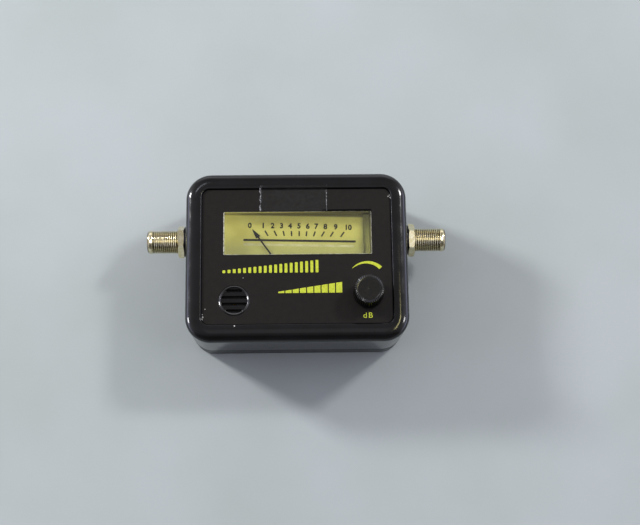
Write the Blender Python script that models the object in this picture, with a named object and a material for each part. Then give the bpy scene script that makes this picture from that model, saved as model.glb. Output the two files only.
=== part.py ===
# A satellite signal meter that sits in line between a dish and a receiver: a moulded case
# that holds a moving-coil meter, a sensitivity knob and a buzzer, with an F connector on each side.
# Frame: origin under the middle of the case, +X to the right of the dial, +Y to the top of the
# dial, +Z out of the dial. Metres.

import math

import bmesh
import bpy
from mathutils import Matrix, Vector

# Clearances
SEAT_GAP = 0.0003           # between two pieces that rest on each other
FINE_GAP = 0.00015          # the same in the connectors and the movement
OVERRUN = 0.0010            # how far a cutter runs past what it cuts
EMBED = 0.0010              # how far a boss is rooted in the wall that carries it
MERGE_DISTANCE = 0.000001
SHARP_ANGLE = 35.0          # degrees; edges sharper than this aren't shaded smooth

# Case: the outside of both shells
CASE_WIDTH = 0.0900
CASE_DEPTH = 0.0706
CASE_HEIGHT = 0.0340
CORNER_RADIUS = 0.0105
WALL = 0.0022
DRAFT_INSET = 0.0020        # the side walls lean in by this from the rim to the back
SPLIT_HEIGHT = 0.0100
TONGUE_HEIGHT = 0.0014
EDGE_ROUND = 0.0034
INSIDE_FILLET = 0.0012
CORNER_STEPS = 7
ROUND_STEPS = 5

# Front panel, sunk inside the rim
RIM_SIDE = 0.0064
RIM_END = 0.0068
RECESS_DEPTH = 0.0014
RECESS_CORNER = 0.0032
LAND_FALL = 0.00015         # the land inside the rim's crest falls away by this
PANEL_THICKNESS = 0.0022

# Rear cover
REAR_EDGE_ROUND = 0.0016
REAR_FLOOR = 0.0020
REAR_ROUND_STEPS = 3

# Housing screws, one in each corner, driven from behind
SCREW_INSET = 0.0080
BOSS_RADIUS = 0.0032
BOSS_STANDOFF = 0.0020      # the bosses stop this far above the split
PILOT_DEPTH = 0.0090
POST_RADIUS = 0.0035
SCREW_RADIUS = 0.0013
SCREW_HEAD_RADIUS = 0.0025
SCREW_HEAD_HEIGHT = 0.0018
SCREW_HEAD_ROUND = 0.0004
SCREW_SEAT_HEIGHT = 0.0052
SCREW_ENGAGEMENT = 0.0065
SCREW_SEGMENTS = 16

# Window, seen from the top of the dial
WINDOW_SIDE = 0.0149        # the border from the case's side to the window
WINDOW_HEIGHT = 0.0181
WINDOW_X = 0.0004           # the window sits this far right of the middle
WINDOW_FROM_TOP = 0.01665
WINDOW_CORNER = 0.0006
WINDOW_CORNER_STEPS = 2
OPENING_MARGIN = 0.0004     # the cover's opening is larger than the face plate's

# Sound grille
GRILLE_ACROSS_SHARE = 0.6058  # of the way from the case's side to the meter's neck
GRILLE_DOWN_SHARE = 0.76696   # the share of the free height below the window that lies above it
GRILLE_RADIUS = 0.00605
SLOT_CIRCLE = 0.0053
SLOT_PITCH = 0.00277
SLOT_HEIGHT = 0.00115
SLOT_CORNER = 0.0004
SLOT_COUNT = 4

# Face plate
PLATE_CLEARANCE = 0.00025
ADHESIVE = 0.0001
PLATE_THICKNESS = 0.0004
PLATE_CORNER_STEPS = 4
HOLE_SEGMENTS = 32

# Knob and potentiometer
KNOB_FROM_RIGHT = 0.0164
KNOB_DOWN_SHARE = 0.63363   # the share of the free height below the window that lies above it
KNOB_BASE_RADIUS = 0.0062
KNOB_TOP_RADIUS = 0.00588
KNOB_HEIGHT = 0.0082
KNOB_EDGE = 0.0004
KNOB_BORE_DEPTH = 0.0065
FLUTE_COUNT = 40
FLUTE_DEPTH = 0.00028
SHAFT_RADIUS = 0.0030
SHAFT_HOLE_CLEARANCE = 0.0004
POT_WIDTH = 0.0096
POT_HEIGHT = 0.0070
POT_WALL = 0.0012
BUSHING_RADIUS = 0.0041
BUSHING_LENGTH = 0.0045
ROTOR_HEIGHT = 0.0024

# Connectors: 3/8 inch thread, one on each side wall
CONNECTOR_FROM_TOP = 0.0244
CONNECTOR_ABOVE_SPLIT = 0.0070
THREAD_RADIUS = 0.00476
THREAD_CLEARANCE = 0.00024
PAD_RADIUS = 0.0065
PAD_STANDOUT = 0.0010
WASHER_RADIUS = 0.0062
WASHER_THICKNESS = 0.0006
NUT_ACROSS_FLATS = 0.0120
NUT_THICKNESS = 0.0023
NUT_TURN = 12.0             # degrees
CONNECTOR_TIP = 0.01685     # the mouth stands this far out from the case width
MOUTH_COLLAR = 0.0010
MOUTH_GROOVE = 0.0009
GROOVE_DEPTH = 0.0006
MOUTH_CHAMFER = 0.0003
CONNECTOR_BORE = 0.0035
FLANGE_RADIUS = 0.0060
FLANGE_THICKNESS = 0.0018
FLANGE_DRAFT_ROOM = 0.0008  # the wall inside leans, so the flange keeps this much more
TAIL_RADIUS = 0.0041
TAIL_LENGTH = 0.0019
INSULATOR_SETBACK = 0.0005
CONTACT_RADIUS = 0.0005
CONTACT_SETBACK = 0.0008
CONTACT_REACH = 0.0012      # the contact runs on this far behind the tail
CONNECTOR_SEGMENTS = 24

# Circuit board
BOARD_THICKNESS = 0.0016
BOARD_SIDE_ROOM = 0.0008
BOARD_END_ROOM = 0.0012     # between the board and the screw posts
FLANGE_TO_BOARD = 0.0006
BOARD_POST_INSET = 0.0025
BOARD_POST_ABOVE_CONNECTOR = 0.0080
BOARD_POST_RADIUS = 0.0025
BOARD_SCREW_LENGTH = 0.0070
BOARD_SCREW_HEAD_RADIUS = 0.0024
BOARD_SCREW_HEAD_HEIGHT = 0.0016

# Meter case: a wide part behind the window and a neck for the movement
LENS_SETBACK = 0.0002
LENS_THICKNESS = 0.0012
LID_THICKNESS = 0.0010
METER_WALL = 0.0012
METER_MARGIN = 0.0011       # the wide part reaches this far past the window at each side
METER_END_MARGIN = 0.00175
METER_TO_BOARD = 0.0008
NECK_END_ROOM = 0.0023
NECK_SIDE_ROOM = 0.0010     # between the yoke and the neck's wall
LID_HEIGHT = 0.0060
DIAL_POST_RADIUS = 0.0016
DIAL_POST_INSET = 0.0081    # from the window's edge

# Dial
DIAL_DEPTH = 0.0050
DIAL_THICKNESS = 0.0003
DIFFUSER_THICKNESS = 0.0010
DIAL_ROOM = 0.0004
DIAL_RIGHT_MARGIN = 0.0032  # the yellow film stops this far inside the window's right edge

# Movement
PIVOT_X = 0.0010
PIVOT_SHARE = 0.20526       # of the way from the lowest place it can have to the dial's edge
NEEDLE_REST = 35.2          # degrees to the left of straight up
NEEDLE_SWEEP = 37.8         # degrees from straight up at the far stop
NEEDLE_SIDE_ROOM = 0.0005   # between the needle at its stop and the neck's wall
NEEDLE_END_ROOM = 0.00045   # from the window's top edge to the needle's tip when it stands straight up
NEEDLE_THICKNESS = 0.00025
NEEDLE_HALF_WIDTH = 0.0003
NEEDLE_LIFT = 0.0007
HEAD_LENGTH = 0.0042
HEAD_HALF_WIDTH = 0.0010
CRANK_SHARES = (0.5960, 0.7815)  # where the needle's crank starts and ends on its way to the dial
HUB_DROP = 0.0008
HUB_RADIUS = 0.0018
HUB_THICKNESS = 0.0003
TAIL_WEIGHT_RADIUS = 0.0011
TAIL_WEIGHT_REACH = 0.0055
TAIL_WEIGHT_DROP = 0.0004
PIVOT_RADIUS = 0.0004
PIVOT_COLLAR_RADIUS = 0.0011
PIVOT_COLLAR_HEIGHT = 0.0003
PIVOT_ENTRY = 0.0005        # how deep a pivot stands in its jewel
JEWEL_RADIUS = 0.0012
JEWEL_CUP_RADIUS = 0.00065
JEWEL_CUP_DEPTH = 0.0009
JEWEL_STANDOUT = 0.0004
COIL_SECTION = 0.0009
COIL_DEPTH = 0.0024
COIL_CLEARANCE = 0.0007
CORE_RADIUS = 0.0056
YOKE_BORE_RADIUS = 0.0083
YOKE_RADIUS = 0.0102
YOKE_DROP = 0.00035         # the yoke ends this far below the coil's top
YOKE_SEGMENTS = 32
COIL_TO_FRAME = 0.0015
FRAME_THICKNESS = 0.0012
FRAME_HALF_WIDTH = 0.0022
CLAMP_YOKE_ROOM = 0.0007
FOOT_LENGTH = 0.0016
FOOT_HALF_WIDTH = 0.0015
FOOT_HEIGHT = 0.0010
BRIDGE_CLEARANCE = 0.0009
BRIDGE_THICKNESS = 0.0008
BRIDGE_HALF_WIDTH = 0.0018
SPRING_INNER_RADIUS = 0.0010
SPRING_OUTER_RADIUS = 0.0037
SPRING_HEIGHT = 0.0004
SPRING_STRIP = 0.00014
SPRING_TURNS = 3.5
SPRING_STEPS = 12           # points in one turn

# Dial lamp
LAMP_RADIUS = 0.0015
LAMP_FLANGE_RADIUS = 0.0019
LAMP_FLANGE_HEIGHT = 0.0010
LAMP_HEIGHT = 0.0052
LAMP_LEAD_RADIUS = 0.00025
LAMP_LEAD_SPACING = 0.0025
LAMP_LEAD_ROOM = 0.0004

# Buzzer
BUZZER_RADIUS = 0.0062
BUZZER_HEIGHT = 0.0070
BUZZER_WALL = 0.0008
BUZZER_HOLE_RADIUS = 0.0012
BUZZER_DISC_DROP = 0.0022
BUZZER_DISC_THICKNESS = 0.0004
BUZZER_BASE_THICKNESS = 0.0014
COLLAR_WALL = 0.0011
COLLAR_HEIGHT = 0.0030
BUZZER_SEGMENTS = 28

# Leads
LEAD_RADIUS = 0.0004
LEAD_SPACING = 0.0040
LEAD_BEND = 0.0014
LEAD_STEPS = 3              # points between two route points
BUZZER_LEAD_STRAIGHT = 0.25 # the share of its fall that a buzzer lead hangs straight at each end
BUZZER_LEAD_SHARE = -0.965  # where its leads meet the board, as a share of the board's half depth
METER_LEAD_SPACING = 0.0030
METER_LEAD_RISE = 0.0024

# Parts on the board
CAPACITOR_LARGE_RADIUS = 0.00315
CAPACITOR_SMALL_RADIUS = 0.0025
CAPACITOR_HEIGHT = 0.0060
CAPACITOR_ROUND = 0.0004
TRANSISTOR_RADIUS = 0.0023
TRANSISTOR_FLAT = 0.0012
TRANSISTOR_HEIGHT = 0.0046
RESISTOR_LENGTH = 0.0062
RESISTOR_RADIUS = 0.0011
RESISTOR_WAIST = 0.0009
RESISTOR_PITCH = 0.0034
CHOKE_RADIUS = 0.0016
CHOKE_WIRE_RADIUS = 0.00025
CHOKE_PITCH = 0.0009
CHOKE_TURNS = 4
CHOKE_STEPS = 10
CHIP_WIDTH = 0.0098
CHIP_DEPTH = 0.0064
CHIP_HEIGHT = 0.0033
CHIP_LEGS_A_SIDE = 4
CHIP_LEG_WIDTH = 0.0006
CHIP_LEG_PITCH = 0.00254
CHIP_LEG_REACH = 0.0010
COMPONENT_SEGMENTS = 16

# Places on the board. The capacitors stand in a row on top, between its left edge and the
# meter's neck, and the other shares are of the board's half width and half depth, under it
CAPACITOR_SHARES = (0.14, 0.43, 0.70)
TRANSISTOR_SHARES = ((-0.35, -0.40), (0.30, -0.40), (0.45, 0.30))
RESISTOR_SHARE = (-0.40, 0.40)
CHIP_SHARE = (0.0, 0.22)
CHOKE_BELOW_CONNECTOR = 0.0105

# Heights that follow from the sizes above
PANEL_TOP = CASE_HEIGHT - RECESS_DEPTH
PANEL_BOTTOM = PANEL_TOP - PANEL_THICKNESS
PLATE_BOTTOM = PANEL_TOP + ADHESIVE
PLATE_TOP = PLATE_BOTTOM + PLATE_THICKNESS
ROUND_END = CASE_HEIGHT - EDGE_ROUND
BOSS_BOTTOM = SPLIT_HEIGHT + BOSS_STANDOFF
KNOB_BOTTOM = PLATE_TOP + SEAT_GAP
CONNECTOR_Z = SPLIT_HEIGHT + CONNECTOR_ABOVE_SPLIT
BOARD_TOP = CONNECTOR_Z - FLANGE_RADIUS - FLANGE_TO_BOARD
BOARD_BOTTOM = BOARD_TOP - BOARD_THICKNESS
LID_TOP = PANEL_BOTTOM - SEAT_GAP
LENS_TOP = PANEL_TOP - LENS_SETBACK
DIAL_TOP = LENS_TOP - DIAL_DEPTH
METER_SPLIT = LID_TOP - LID_HEIGHT
BASE_BOTTOM = BOARD_TOP + METER_TO_BOARD
BASE_FLOOR = BASE_BOTTOM + METER_WALL
FRAME_BOTTOM = BASE_FLOOR + SEAT_GAP
FRAME_TOP = FRAME_BOTTOM + FRAME_THICKNESS
HUB_TOP = DIAL_TOP - HUB_DROP
HUB_BOTTOM = HUB_TOP - HUB_THICKNESS
COIL_TOP = HUB_BOTTOM - PIVOT_COLLAR_HEIGHT - 2 * FINE_GAP
COIL_BOTTOM = FRAME_TOP + COIL_TO_FRAME
YOKE_BOTTOM = FRAME_TOP + FINE_GAP
YOKE_TOP = COIL_TOP - YOKE_DROP
CORE_BOTTOM = COIL_BOTTOM + COIL_SECTION + COIL_CLEARANCE
CORE_TOP = COIL_TOP - COIL_SECTION - COIL_CLEARANCE
BRIDGE_BOTTOM = HUB_TOP + BRIDGE_CLEARANCE
BRIDGE_TOP = BRIDGE_BOTTOM + BRIDGE_THICKNESS

# Places across the case that follow from the sizes above
WINDOW_WIDTH = CASE_WIDTH - 2 * WINDOW_SIDE
WINDOW_Y = CASE_DEPTH / 2 - WINDOW_FROM_TOP - WINDOW_HEIGHT / 2
WINDOW_TOP_EDGE = WINDOW_Y + WINDOW_HEIGHT / 2
WINDOW_LOW_EDGE = WINDOW_Y - WINDOW_HEIGHT / 2
METER_HALF_WIDTH = WINDOW_WIDTH / 2 + METER_MARGIN
METER_TOP_EDGE = WINDOW_TOP_EDGE + METER_END_MARGIN
METER_SHOULDER = WINDOW_LOW_EDGE - METER_END_MARGIN
DIAL_TOP_EDGE = METER_TOP_EDGE - METER_WALL - DIAL_ROOM
DIAL_LOW_EDGE = METER_SHOULDER + METER_WALL + DIAL_ROOM
INSIDE_END = DRAFT_INSET + WALL - CASE_DEPTH / 2
PIVOT_LOWEST = INSIDE_END + NECK_END_ROOM + YOKE_RADIUS
PIVOT_Y = PIVOT_LOWEST + PIVOT_SHARE * (DIAL_LOW_EDGE - PIVOT_LOWEST)
NEEDLE_LENGTH = WINDOW_TOP_EDGE - PIVOT_Y - NEEDLE_END_ROOM
NEEDLE_REACH = (METER_SHOULDER + METER_WALL - PIVOT_Y) * math.tan(math.radians(NEEDLE_SWEEP))
NEEDLE_SPAN = NEEDLE_REACH + NEEDLE_HALF_WIDTH / math.cos(math.radians(NEEDLE_SWEEP)) + NEEDLE_SIDE_ROOM
NECK_HALF_WIDTH = METER_WALL + max(YOKE_RADIUS + NECK_SIDE_ROOM, NEEDLE_SPAN)
NECK_LEFT = PIVOT_X - NECK_HALF_WIDTH
RECESS_LOW_EDGE = RIM_END - CASE_DEPTH / 2
BELOW_WINDOW = WINDOW_LOW_EDGE - RECESS_LOW_EDGE
GRILLE_X = -CASE_WIDTH / 2 + GRILLE_ACROSS_SHARE * (NECK_LEFT + CASE_WIDTH / 2)
GRILLE_Y = WINDOW_LOW_EDGE - GRILLE_RADIUS - GRILLE_DOWN_SHARE * (BELOW_WINDOW - 2 * GRILLE_RADIUS)
KNOB_X = CASE_WIDTH / 2 - KNOB_FROM_RIGHT
KNOB_Y = WINDOW_LOW_EDGE - KNOB_BASE_RADIUS - KNOB_DOWN_SHARE * (BELOW_WINDOW - 2 * KNOB_BASE_RADIUS)
CONNECTOR_Y = CASE_DEPTH / 2 - CONNECTOR_FROM_TOP
BOARD_LEAN = DRAFT_INSET * (ROUND_END - BOARD_TOP) / ROUND_END
BOARD_HALF_WIDTH = CASE_WIDTH / 2 - BOARD_LEAN - WALL - BOARD_SIDE_ROOM
BOARD_HALF_DEPTH = CASE_DEPTH / 2 - SCREW_INSET - POST_RADIUS - BOARD_END_ROOM
BOARD_POST_X = BOARD_HALF_WIDTH - BOARD_POST_INSET
BOARD_POST_Y = CONNECTOR_Y + BOARD_POST_ABOVE_CONNECTOR


# Scene and materials


def clear_scene():
    for obj in list(bpy.data.objects):
        bpy.data.objects.remove(obj, do_unlink=True)


def principled(name, colour, roughness, metallic=0.0, transmission=0.0):
    material = bpy.data.materials.new(name)
    material.use_nodes = True
    shader = material.node_tree.nodes["Principled BSDF"]
    shader.inputs["Base Color"].default_value = (*colour, 1.0)
    shader.inputs["Roughness"].default_value = roughness
    shader.inputs["Metallic"].default_value = metallic
    shader.inputs["Transmission Weight"].default_value = transmission
    material.diffuse_color = (*colour, 1.0)
    return material


def make_materials():
    return {
        "case": principled("black_abs", (0.012, 0.012, 0.014), 0.18),
        "plate": principled("black_print", (0.020, 0.020, 0.021), 0.55),
        "clear": principled("clear_styrene", (0.93, 0.95, 0.93), 0.05, transmission=1.0),
        "dial": principled("yellow_film", (0.55, 0.52, 0.14), 0.45),
        "diffuser": principled("milky_acrylic", (0.52, 0.53, 0.40), 0.40),
        "base": principled("black_phenolic", (0.025, 0.024, 0.022), 0.50),
        "needle": principled("black_painted_aluminium", (0.010, 0.009, 0.008), 0.45),
        "nickel": principled("bright_nickel", (0.72, 0.68, 0.60), 0.22, metallic=1.0),
        "steel": principled("zinc_plated_steel", (0.60, 0.60, 0.58), 0.35, metallic=1.0),
        "dark_steel": principled("blackened_steel", (0.03, 0.03, 0.03), 0.50, metallic=0.6),
        "iron": principled("soft_iron", (0.38, 0.36, 0.34), 0.50, metallic=1.0),
        "magnet": principled("alnico", (0.30, 0.30, 0.31), 0.40, metallic=1.0),
        "copper": principled("enamelled_copper", (0.55, 0.20, 0.08), 0.35, metallic=1.0),
        "brass": principled("brass", (0.70, 0.52, 0.22), 0.30, metallic=1.0),
        "bronze": principled("phosphor_bronze", (0.60, 0.36, 0.20), 0.30, metallic=1.0),
        "insulator": principled("white_polyethylene", (0.80, 0.79, 0.74), 0.45),
        "board": principled("green_laminate", (0.05, 0.22, 0.08), 0.45),
        "component": principled("black_epoxy", (0.020, 0.020, 0.022), 0.45),
        "capacitor": principled("blue_sleeve", (0.03, 0.06, 0.22), 0.35),
        "resistor": principled("beige_lacquer", (0.62, 0.48, 0.30), 0.45),
        "red": principled("red_pvc", (0.55, 0.03, 0.02), 0.45),
        "black": principled("black_pvc", (0.02, 0.02, 0.02), 0.45),
    }


MATERIALS = {}


# Outlines and rings


def rounded_outline(width, depth, radius, steps, centre=(0.0, 0.0)):
    """Corner points of a rounded rectangle, counter-clockwise."""
    points = []
    corners = ((1, 1, 0), (-1, 1, 90), (-1, -1, 180), (1, -1, 270))
    for side_x, side_y, start in corners:
        middle_x = centre[0] + side_x * (width / 2 - radius)
        middle_y = centre[1] + side_y * (depth / 2 - radius)
        for step in range(steps + 1):
            angle = math.radians(start + 90 * step / steps)
            points.append((middle_x + radius * math.cos(angle), middle_y + radius * math.sin(angle)))
    return points


def circle_outline(radius, segments, centre=(0.0, 0.0)):
    angles = [2 * math.pi * step / segments for step in range(segments)]
    return [(centre[0] + radius * math.cos(a), centre[1] + radius * math.sin(a)) for a in angles]


def side_inset(height):
    """How far the drafted side wall has leaned in at a height below the rim."""
    return DRAFT_INSET * (ROUND_END - height) / ROUND_END


def case_ring(inset, height):
    width = CASE_WIDTH - 2 * inset
    depth = CASE_DEPTH - 2 * inset
    outline = rounded_outline(width, depth, CORNER_RADIUS - inset, CORNER_STEPS)
    return [(x, y, height) for x, y in outline]


def recess_ring(clearance, height, steps):
    width = CASE_WIDTH - 2 * (RIM_SIDE + clearance)
    depth = CASE_DEPTH - 2 * (RIM_END + clearance)
    outline = rounded_outline(width, depth, RECESS_CORNER - clearance, steps)
    return [(x, y, height) for x, y in outline]


def meter_ring(inset, height):
    """The meter case's outline: the wide part above, the neck round the movement below."""
    half = METER_HALF_WIDTH - inset
    top = METER_TOP_EDGE - inset
    shoulder = METER_SHOULDER + inset
    neck = NECK_HALF_WIDTH - inset
    bottom = PIVOT_Y - YOKE_RADIUS - NECK_END_ROOM + inset
    outline = (
        (WINDOW_X + half, shoulder), (WINDOW_X + half, top),
        (WINDOW_X - half, top), (WINDOW_X - half, shoulder),
        (PIVOT_X - neck, shoulder), (PIVOT_X - neck, bottom),
        (PIVOT_X + neck, bottom), (PIVOT_X + neck, shoulder),
    )
    return [(x, y, height) for x, y in outline]


# Solids, each added to a bmesh so that several can share one cutter


def add_stack(bm, rings):
    """Skins a stack of rings with equal point counts and closes both ends."""
    loops = [[bm.verts.new(point) for point in ring] for ring in rings]
    for lower, upper in zip(loops, loops[1:]):
        skin_between(bm, lower, upper)
    bm.faces.new(loops[0])
    bm.faces.new(loops[-1])


def skin_between(bm, lower, upper):
    for index, vert in enumerate(lower):
        bm.faces.new((lower[index - 1], vert, upper[index], upper[index - 1]))


def add_prism(bm, outline, low, high):
    add_stack(bm, [[(x, y, low) for x, y in outline], [(x, y, high) for x, y in outline]])


def add_block(bm, x_low, x_high, y_low, y_high, z_low, z_high):
    size = Vector((x_high - x_low, y_high - y_low, z_high - z_low))
    middle = Vector((x_high + x_low, y_high + y_low, z_high + z_low)) / 2
    matrix = Matrix.Translation(middle) @ Matrix.Diagonal((*size, 1.0))
    bmesh.ops.create_cube(bm, size=1.0, matrix=matrix)


def add_turned(bm, profile, segments, place=None, closed=False):
    """Spins a profile of (radius, height) points about the vertical; closed for a ring."""
    verts = [bm.verts.new((radius, 0.0, height)) for radius, height in profile]
    edges = [bm.edges.new(pair) for pair in zip(verts, verts[1:])]
    if closed:
        edges.append(bm.edges.new((verts[-1], verts[0])))
    before = set(bm.verts) - set(verts)
    bmesh.ops.spin(bm, geom=verts + edges, cent=(0, 0, 0), axis=(0, 0, 1),
                   angle=2 * math.pi, steps=segments, use_merge=True)
    spun = [vert for vert in bm.verts if vert not in before]
    if place is not None:
        bmesh.ops.transform(bm, matrix=place, verts=spun)
    bmesh.ops.remove_doubles(bm, verts=spun, dist=MERGE_DISTANCE)


def sideways(side):
    """Turns a vertical solid to stand out of the left (-1) or right (+1) wall."""
    place = Matrix.Translation((0.0, CONNECTOR_Y, CONNECTOR_Z))
    return place @ Matrix.Rotation(side * math.pi / 2, 4, "Y")


def make_object(name, bm, material=None, parent=None, location=(0, 0, 0), rotation=(0, 0, 0)):
    bmesh.ops.recalc_face_normals(bm, faces=bm.faces)
    mesh = bpy.data.meshes.new(name)
    bm.to_mesh(mesh)
    bm.free()
    mesh.shade_smooth()
    mesh.set_sharp_from_angle(angle=math.radians(SHARP_ANGLE))
    obj = bpy.data.objects.new(name, mesh)
    bpy.context.scene.collection.objects.link(obj)
    if material:
        mesh.materials.append(MATERIALS[material])
    obj.location = location
    obj.rotation_euler = rotation
    obj.parent = parent
    return obj


def make_tool(name, bm):
    tool = make_object(name, bm)
    tool.hide_render = True
    tool.display_type = "WIRE"
    return tool


def combine(target, tool, operation):
    modifier = target.modifiers.new(tool.name, "BOOLEAN")
    modifier.operation = operation
    modifier.solver = "EXACT"
    modifier.object = tool


def make_turned(name, profile, segments, material, closed=False, **placing):
    bm = bmesh.new()
    add_turned(bm, profile, segments, closed=closed)
    return make_object(name, bm, material, **placing)


def make_axis(name, location, turn=0.0):
    empty = bpy.data.objects.new(name, None)
    bpy.context.scene.collection.objects.link(empty)
    empty.location = location
    empty.rotation_euler = (0.0, 0.0, turn)
    return empty


def corner_places():
    x = CASE_WIDTH / 2 - SCREW_INSET
    y = CASE_DEPTH / 2 - SCREW_INSET
    return [(-x, -y), (x, -y), (x, y), (-x, y)]


# Case


def make_front_cover():
    gap = SEAT_GAP / 2
    skirt = WALL / 2 - gap
    edge_low = SPLIT_HEIGHT + gap
    rebate_top = SPLIT_HEIGHT + TONGUE_HEIGHT + SEAT_GAP
    rings = [
        recess_ring(0.0, PANEL_TOP, CORNER_STEPS),
        recess_ring(0.0, CASE_HEIGHT - LAND_FALL, CORNER_STEPS),
    ]
    for step in range(ROUND_STEPS + 1):
        angle = math.pi / 2 * step / ROUND_STEPS
        inset = EDGE_ROUND * (1 - math.sin(angle))
        rings.append(case_ring(inset, ROUND_END + EDGE_ROUND * math.cos(angle)))
    rings += [
        case_ring(side_inset(edge_low), edge_low),
        case_ring(side_inset(edge_low) + skirt, edge_low),
        case_ring(side_inset(rebate_top) + skirt, rebate_top),
        case_ring(side_inset(rebate_top) + WALL, rebate_top),
        case_ring(WALL, PANEL_BOTTOM - INSIDE_FILLET),
        case_ring(WALL + INSIDE_FILLET, PANEL_BOTTOM),
    ]
    bm = bmesh.new()
    add_stack(bm, rings)
    cover = make_object("front_cover", bm, "case")
    combine(cover, make_cover_bosses(), "UNION")
    combine(cover, make_cover_openings(), "DIFFERENCE")
    return cover


def add_boss(bm, place, radius, pilot_radius, low, high):
    """A screw boss hanging from the panel, with a blind pilot hole in its end."""
    profile = [
        (0.0, high), (radius, high), (radius, low), (pilot_radius, low),
        (pilot_radius, low + PILOT_DEPTH), (0.0, low + PILOT_DEPTH),
    ]
    add_turned(bm, profile, SCREW_SEGMENTS, Matrix.Translation((*place, 0.0)))


def make_cover_bosses():
    bm = bmesh.new()
    root = PANEL_BOTTOM + EMBED
    pilot = SCREW_RADIUS + FINE_GAP
    for place in corner_places():
        add_boss(bm, place, BOSS_RADIUS, pilot, BOSS_BOTTOM, root)
    for side in (-1, 1):
        place = (side * BOARD_POST_X, BOARD_POST_Y)
        add_boss(bm, place, BOARD_POST_RADIUS, pilot, BOARD_TOP + SEAT_GAP, root)
        pad = [
            (0.0, CASE_WIDTH / 2 - WALL), (PAD_RADIUS, CASE_WIDTH / 2 - WALL),
            (PAD_RADIUS, CASE_WIDTH / 2 + PAD_STANDOUT), (0.0, CASE_WIDTH / 2 + PAD_STANDOUT),
        ]
        add_turned(bm, pad, CONNECTOR_SEGMENTS, sideways(side))
    inner = BUZZER_RADIUS + SEAT_GAP
    collar = [
        (inner, root), (inner + COLLAR_WALL, root),
        (inner + COLLAR_WALL, PANEL_BOTTOM - COLLAR_HEIGHT), (inner, PANEL_BOTTOM - COLLAR_HEIGHT),
    ]
    grille = Matrix.Translation((GRILLE_X, GRILLE_Y, 0.0))
    add_turned(bm, collar, BUZZER_SEGMENTS, grille, closed=True)
    return make_tool("cover_bosses", bm)


def make_cover_openings():
    bm = bmesh.new()
    low = PANEL_BOTTOM - OVERRUN
    high = PANEL_TOP + OVERRUN
    width = WINDOW_WIDTH + 2 * OPENING_MARGIN
    depth = WINDOW_HEIGHT + 2 * OPENING_MARGIN
    window = rounded_outline(width, depth, WINDOW_CORNER, WINDOW_CORNER_STEPS, (WINDOW_X, WINDOW_Y))
    add_prism(bm, window, low, high)
    for index in range(SLOT_COUNT):
        offset = (index - (SLOT_COUNT - 1) / 2) * SLOT_PITCH
        length = 2 * math.sqrt(SLOT_CIRCLE ** 2 - offset ** 2)
        centre = (GRILLE_X, GRILLE_Y + offset)
        slot = rounded_outline(length, SLOT_HEIGHT, SLOT_CORNER, WINDOW_CORNER_STEPS, centre)
        add_prism(bm, slot, low, high)
    shaft = circle_outline(SHAFT_RADIUS + SHAFT_HOLE_CLEARANCE, HOLE_SEGMENTS, (KNOB_X, KNOB_Y))
    add_prism(bm, shaft, low, high)
    hole = THREAD_RADIUS + THREAD_CLEARANCE
    inside = CASE_WIDTH / 2 - DRAFT_INSET - WALL - OVERRUN
    outside = CASE_WIDTH / 2 + PAD_STANDOUT + OVERRUN
    for side in (-1, 1):
        profile = [(0.0, inside), (hole, inside), (hole, outside), (0.0, outside)]
        add_turned(bm, profile, CONNECTOR_SEGMENTS, sideways(side))
    return make_tool("cover_openings", bm)


def make_rear_cover():
    gap = SEAT_GAP / 2
    edge_high = SPLIT_HEIGHT - gap
    tongue = WALL / 2 + gap
    rings = []
    for step in range(REAR_ROUND_STEPS + 1):
        angle = math.pi / 2 * step / REAR_ROUND_STEPS
        inset = DRAFT_INSET + REAR_EDGE_ROUND * (1 - math.sin(angle))
        rings.append(case_ring(inset, REAR_EDGE_ROUND * (1 - math.cos(angle))))
    rings += [
        case_ring(side_inset(edge_high), edge_high),
        case_ring(side_inset(edge_high) + tongue, edge_high),
        case_ring(side_inset(edge_high) + tongue, SPLIT_HEIGHT + TONGUE_HEIGHT),
        case_ring(side_inset(edge_high) + WALL, SPLIT_HEIGHT + TONGUE_HEIGHT),
        case_ring(side_inset(REAR_FLOOR) + WALL, REAR_FLOOR),
    ]
    bm = bmesh.new()
    add_stack(bm, rings)
    cover = make_object("rear_cover", bm, "case")

    posts = bmesh.new()
    holes = bmesh.new()
    post_top = BOSS_BOTTOM - SEAT_GAP
    bore = SCREW_RADIUS + SEAT_GAP
    counterbore = SCREW_HEAD_RADIUS + SEAT_GAP
    for place in corner_places():
        matrix = Matrix.Translation((*place, 0.0))
        post = [(0.0, REAR_FLOOR - EMBED), (POST_RADIUS, REAR_FLOOR - EMBED),
                (POST_RADIUS, post_top), (0.0, post_top)]
        add_turned(posts, post, SCREW_SEGMENTS, matrix)
        hole = [(0.0, -OVERRUN), (counterbore, -OVERRUN), (counterbore, SCREW_SEAT_HEIGHT),
                (bore, SCREW_SEAT_HEIGHT), (bore, post_top + OVERRUN), (0.0, post_top + OVERRUN)]
        add_turned(holes, hole, SCREW_SEGMENTS, matrix)
    combine(cover, make_tool("rear_posts", posts), "UNION")
    combine(cover, make_tool("rear_screw_holes", holes), "DIFFERENCE")
    return cover


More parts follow.
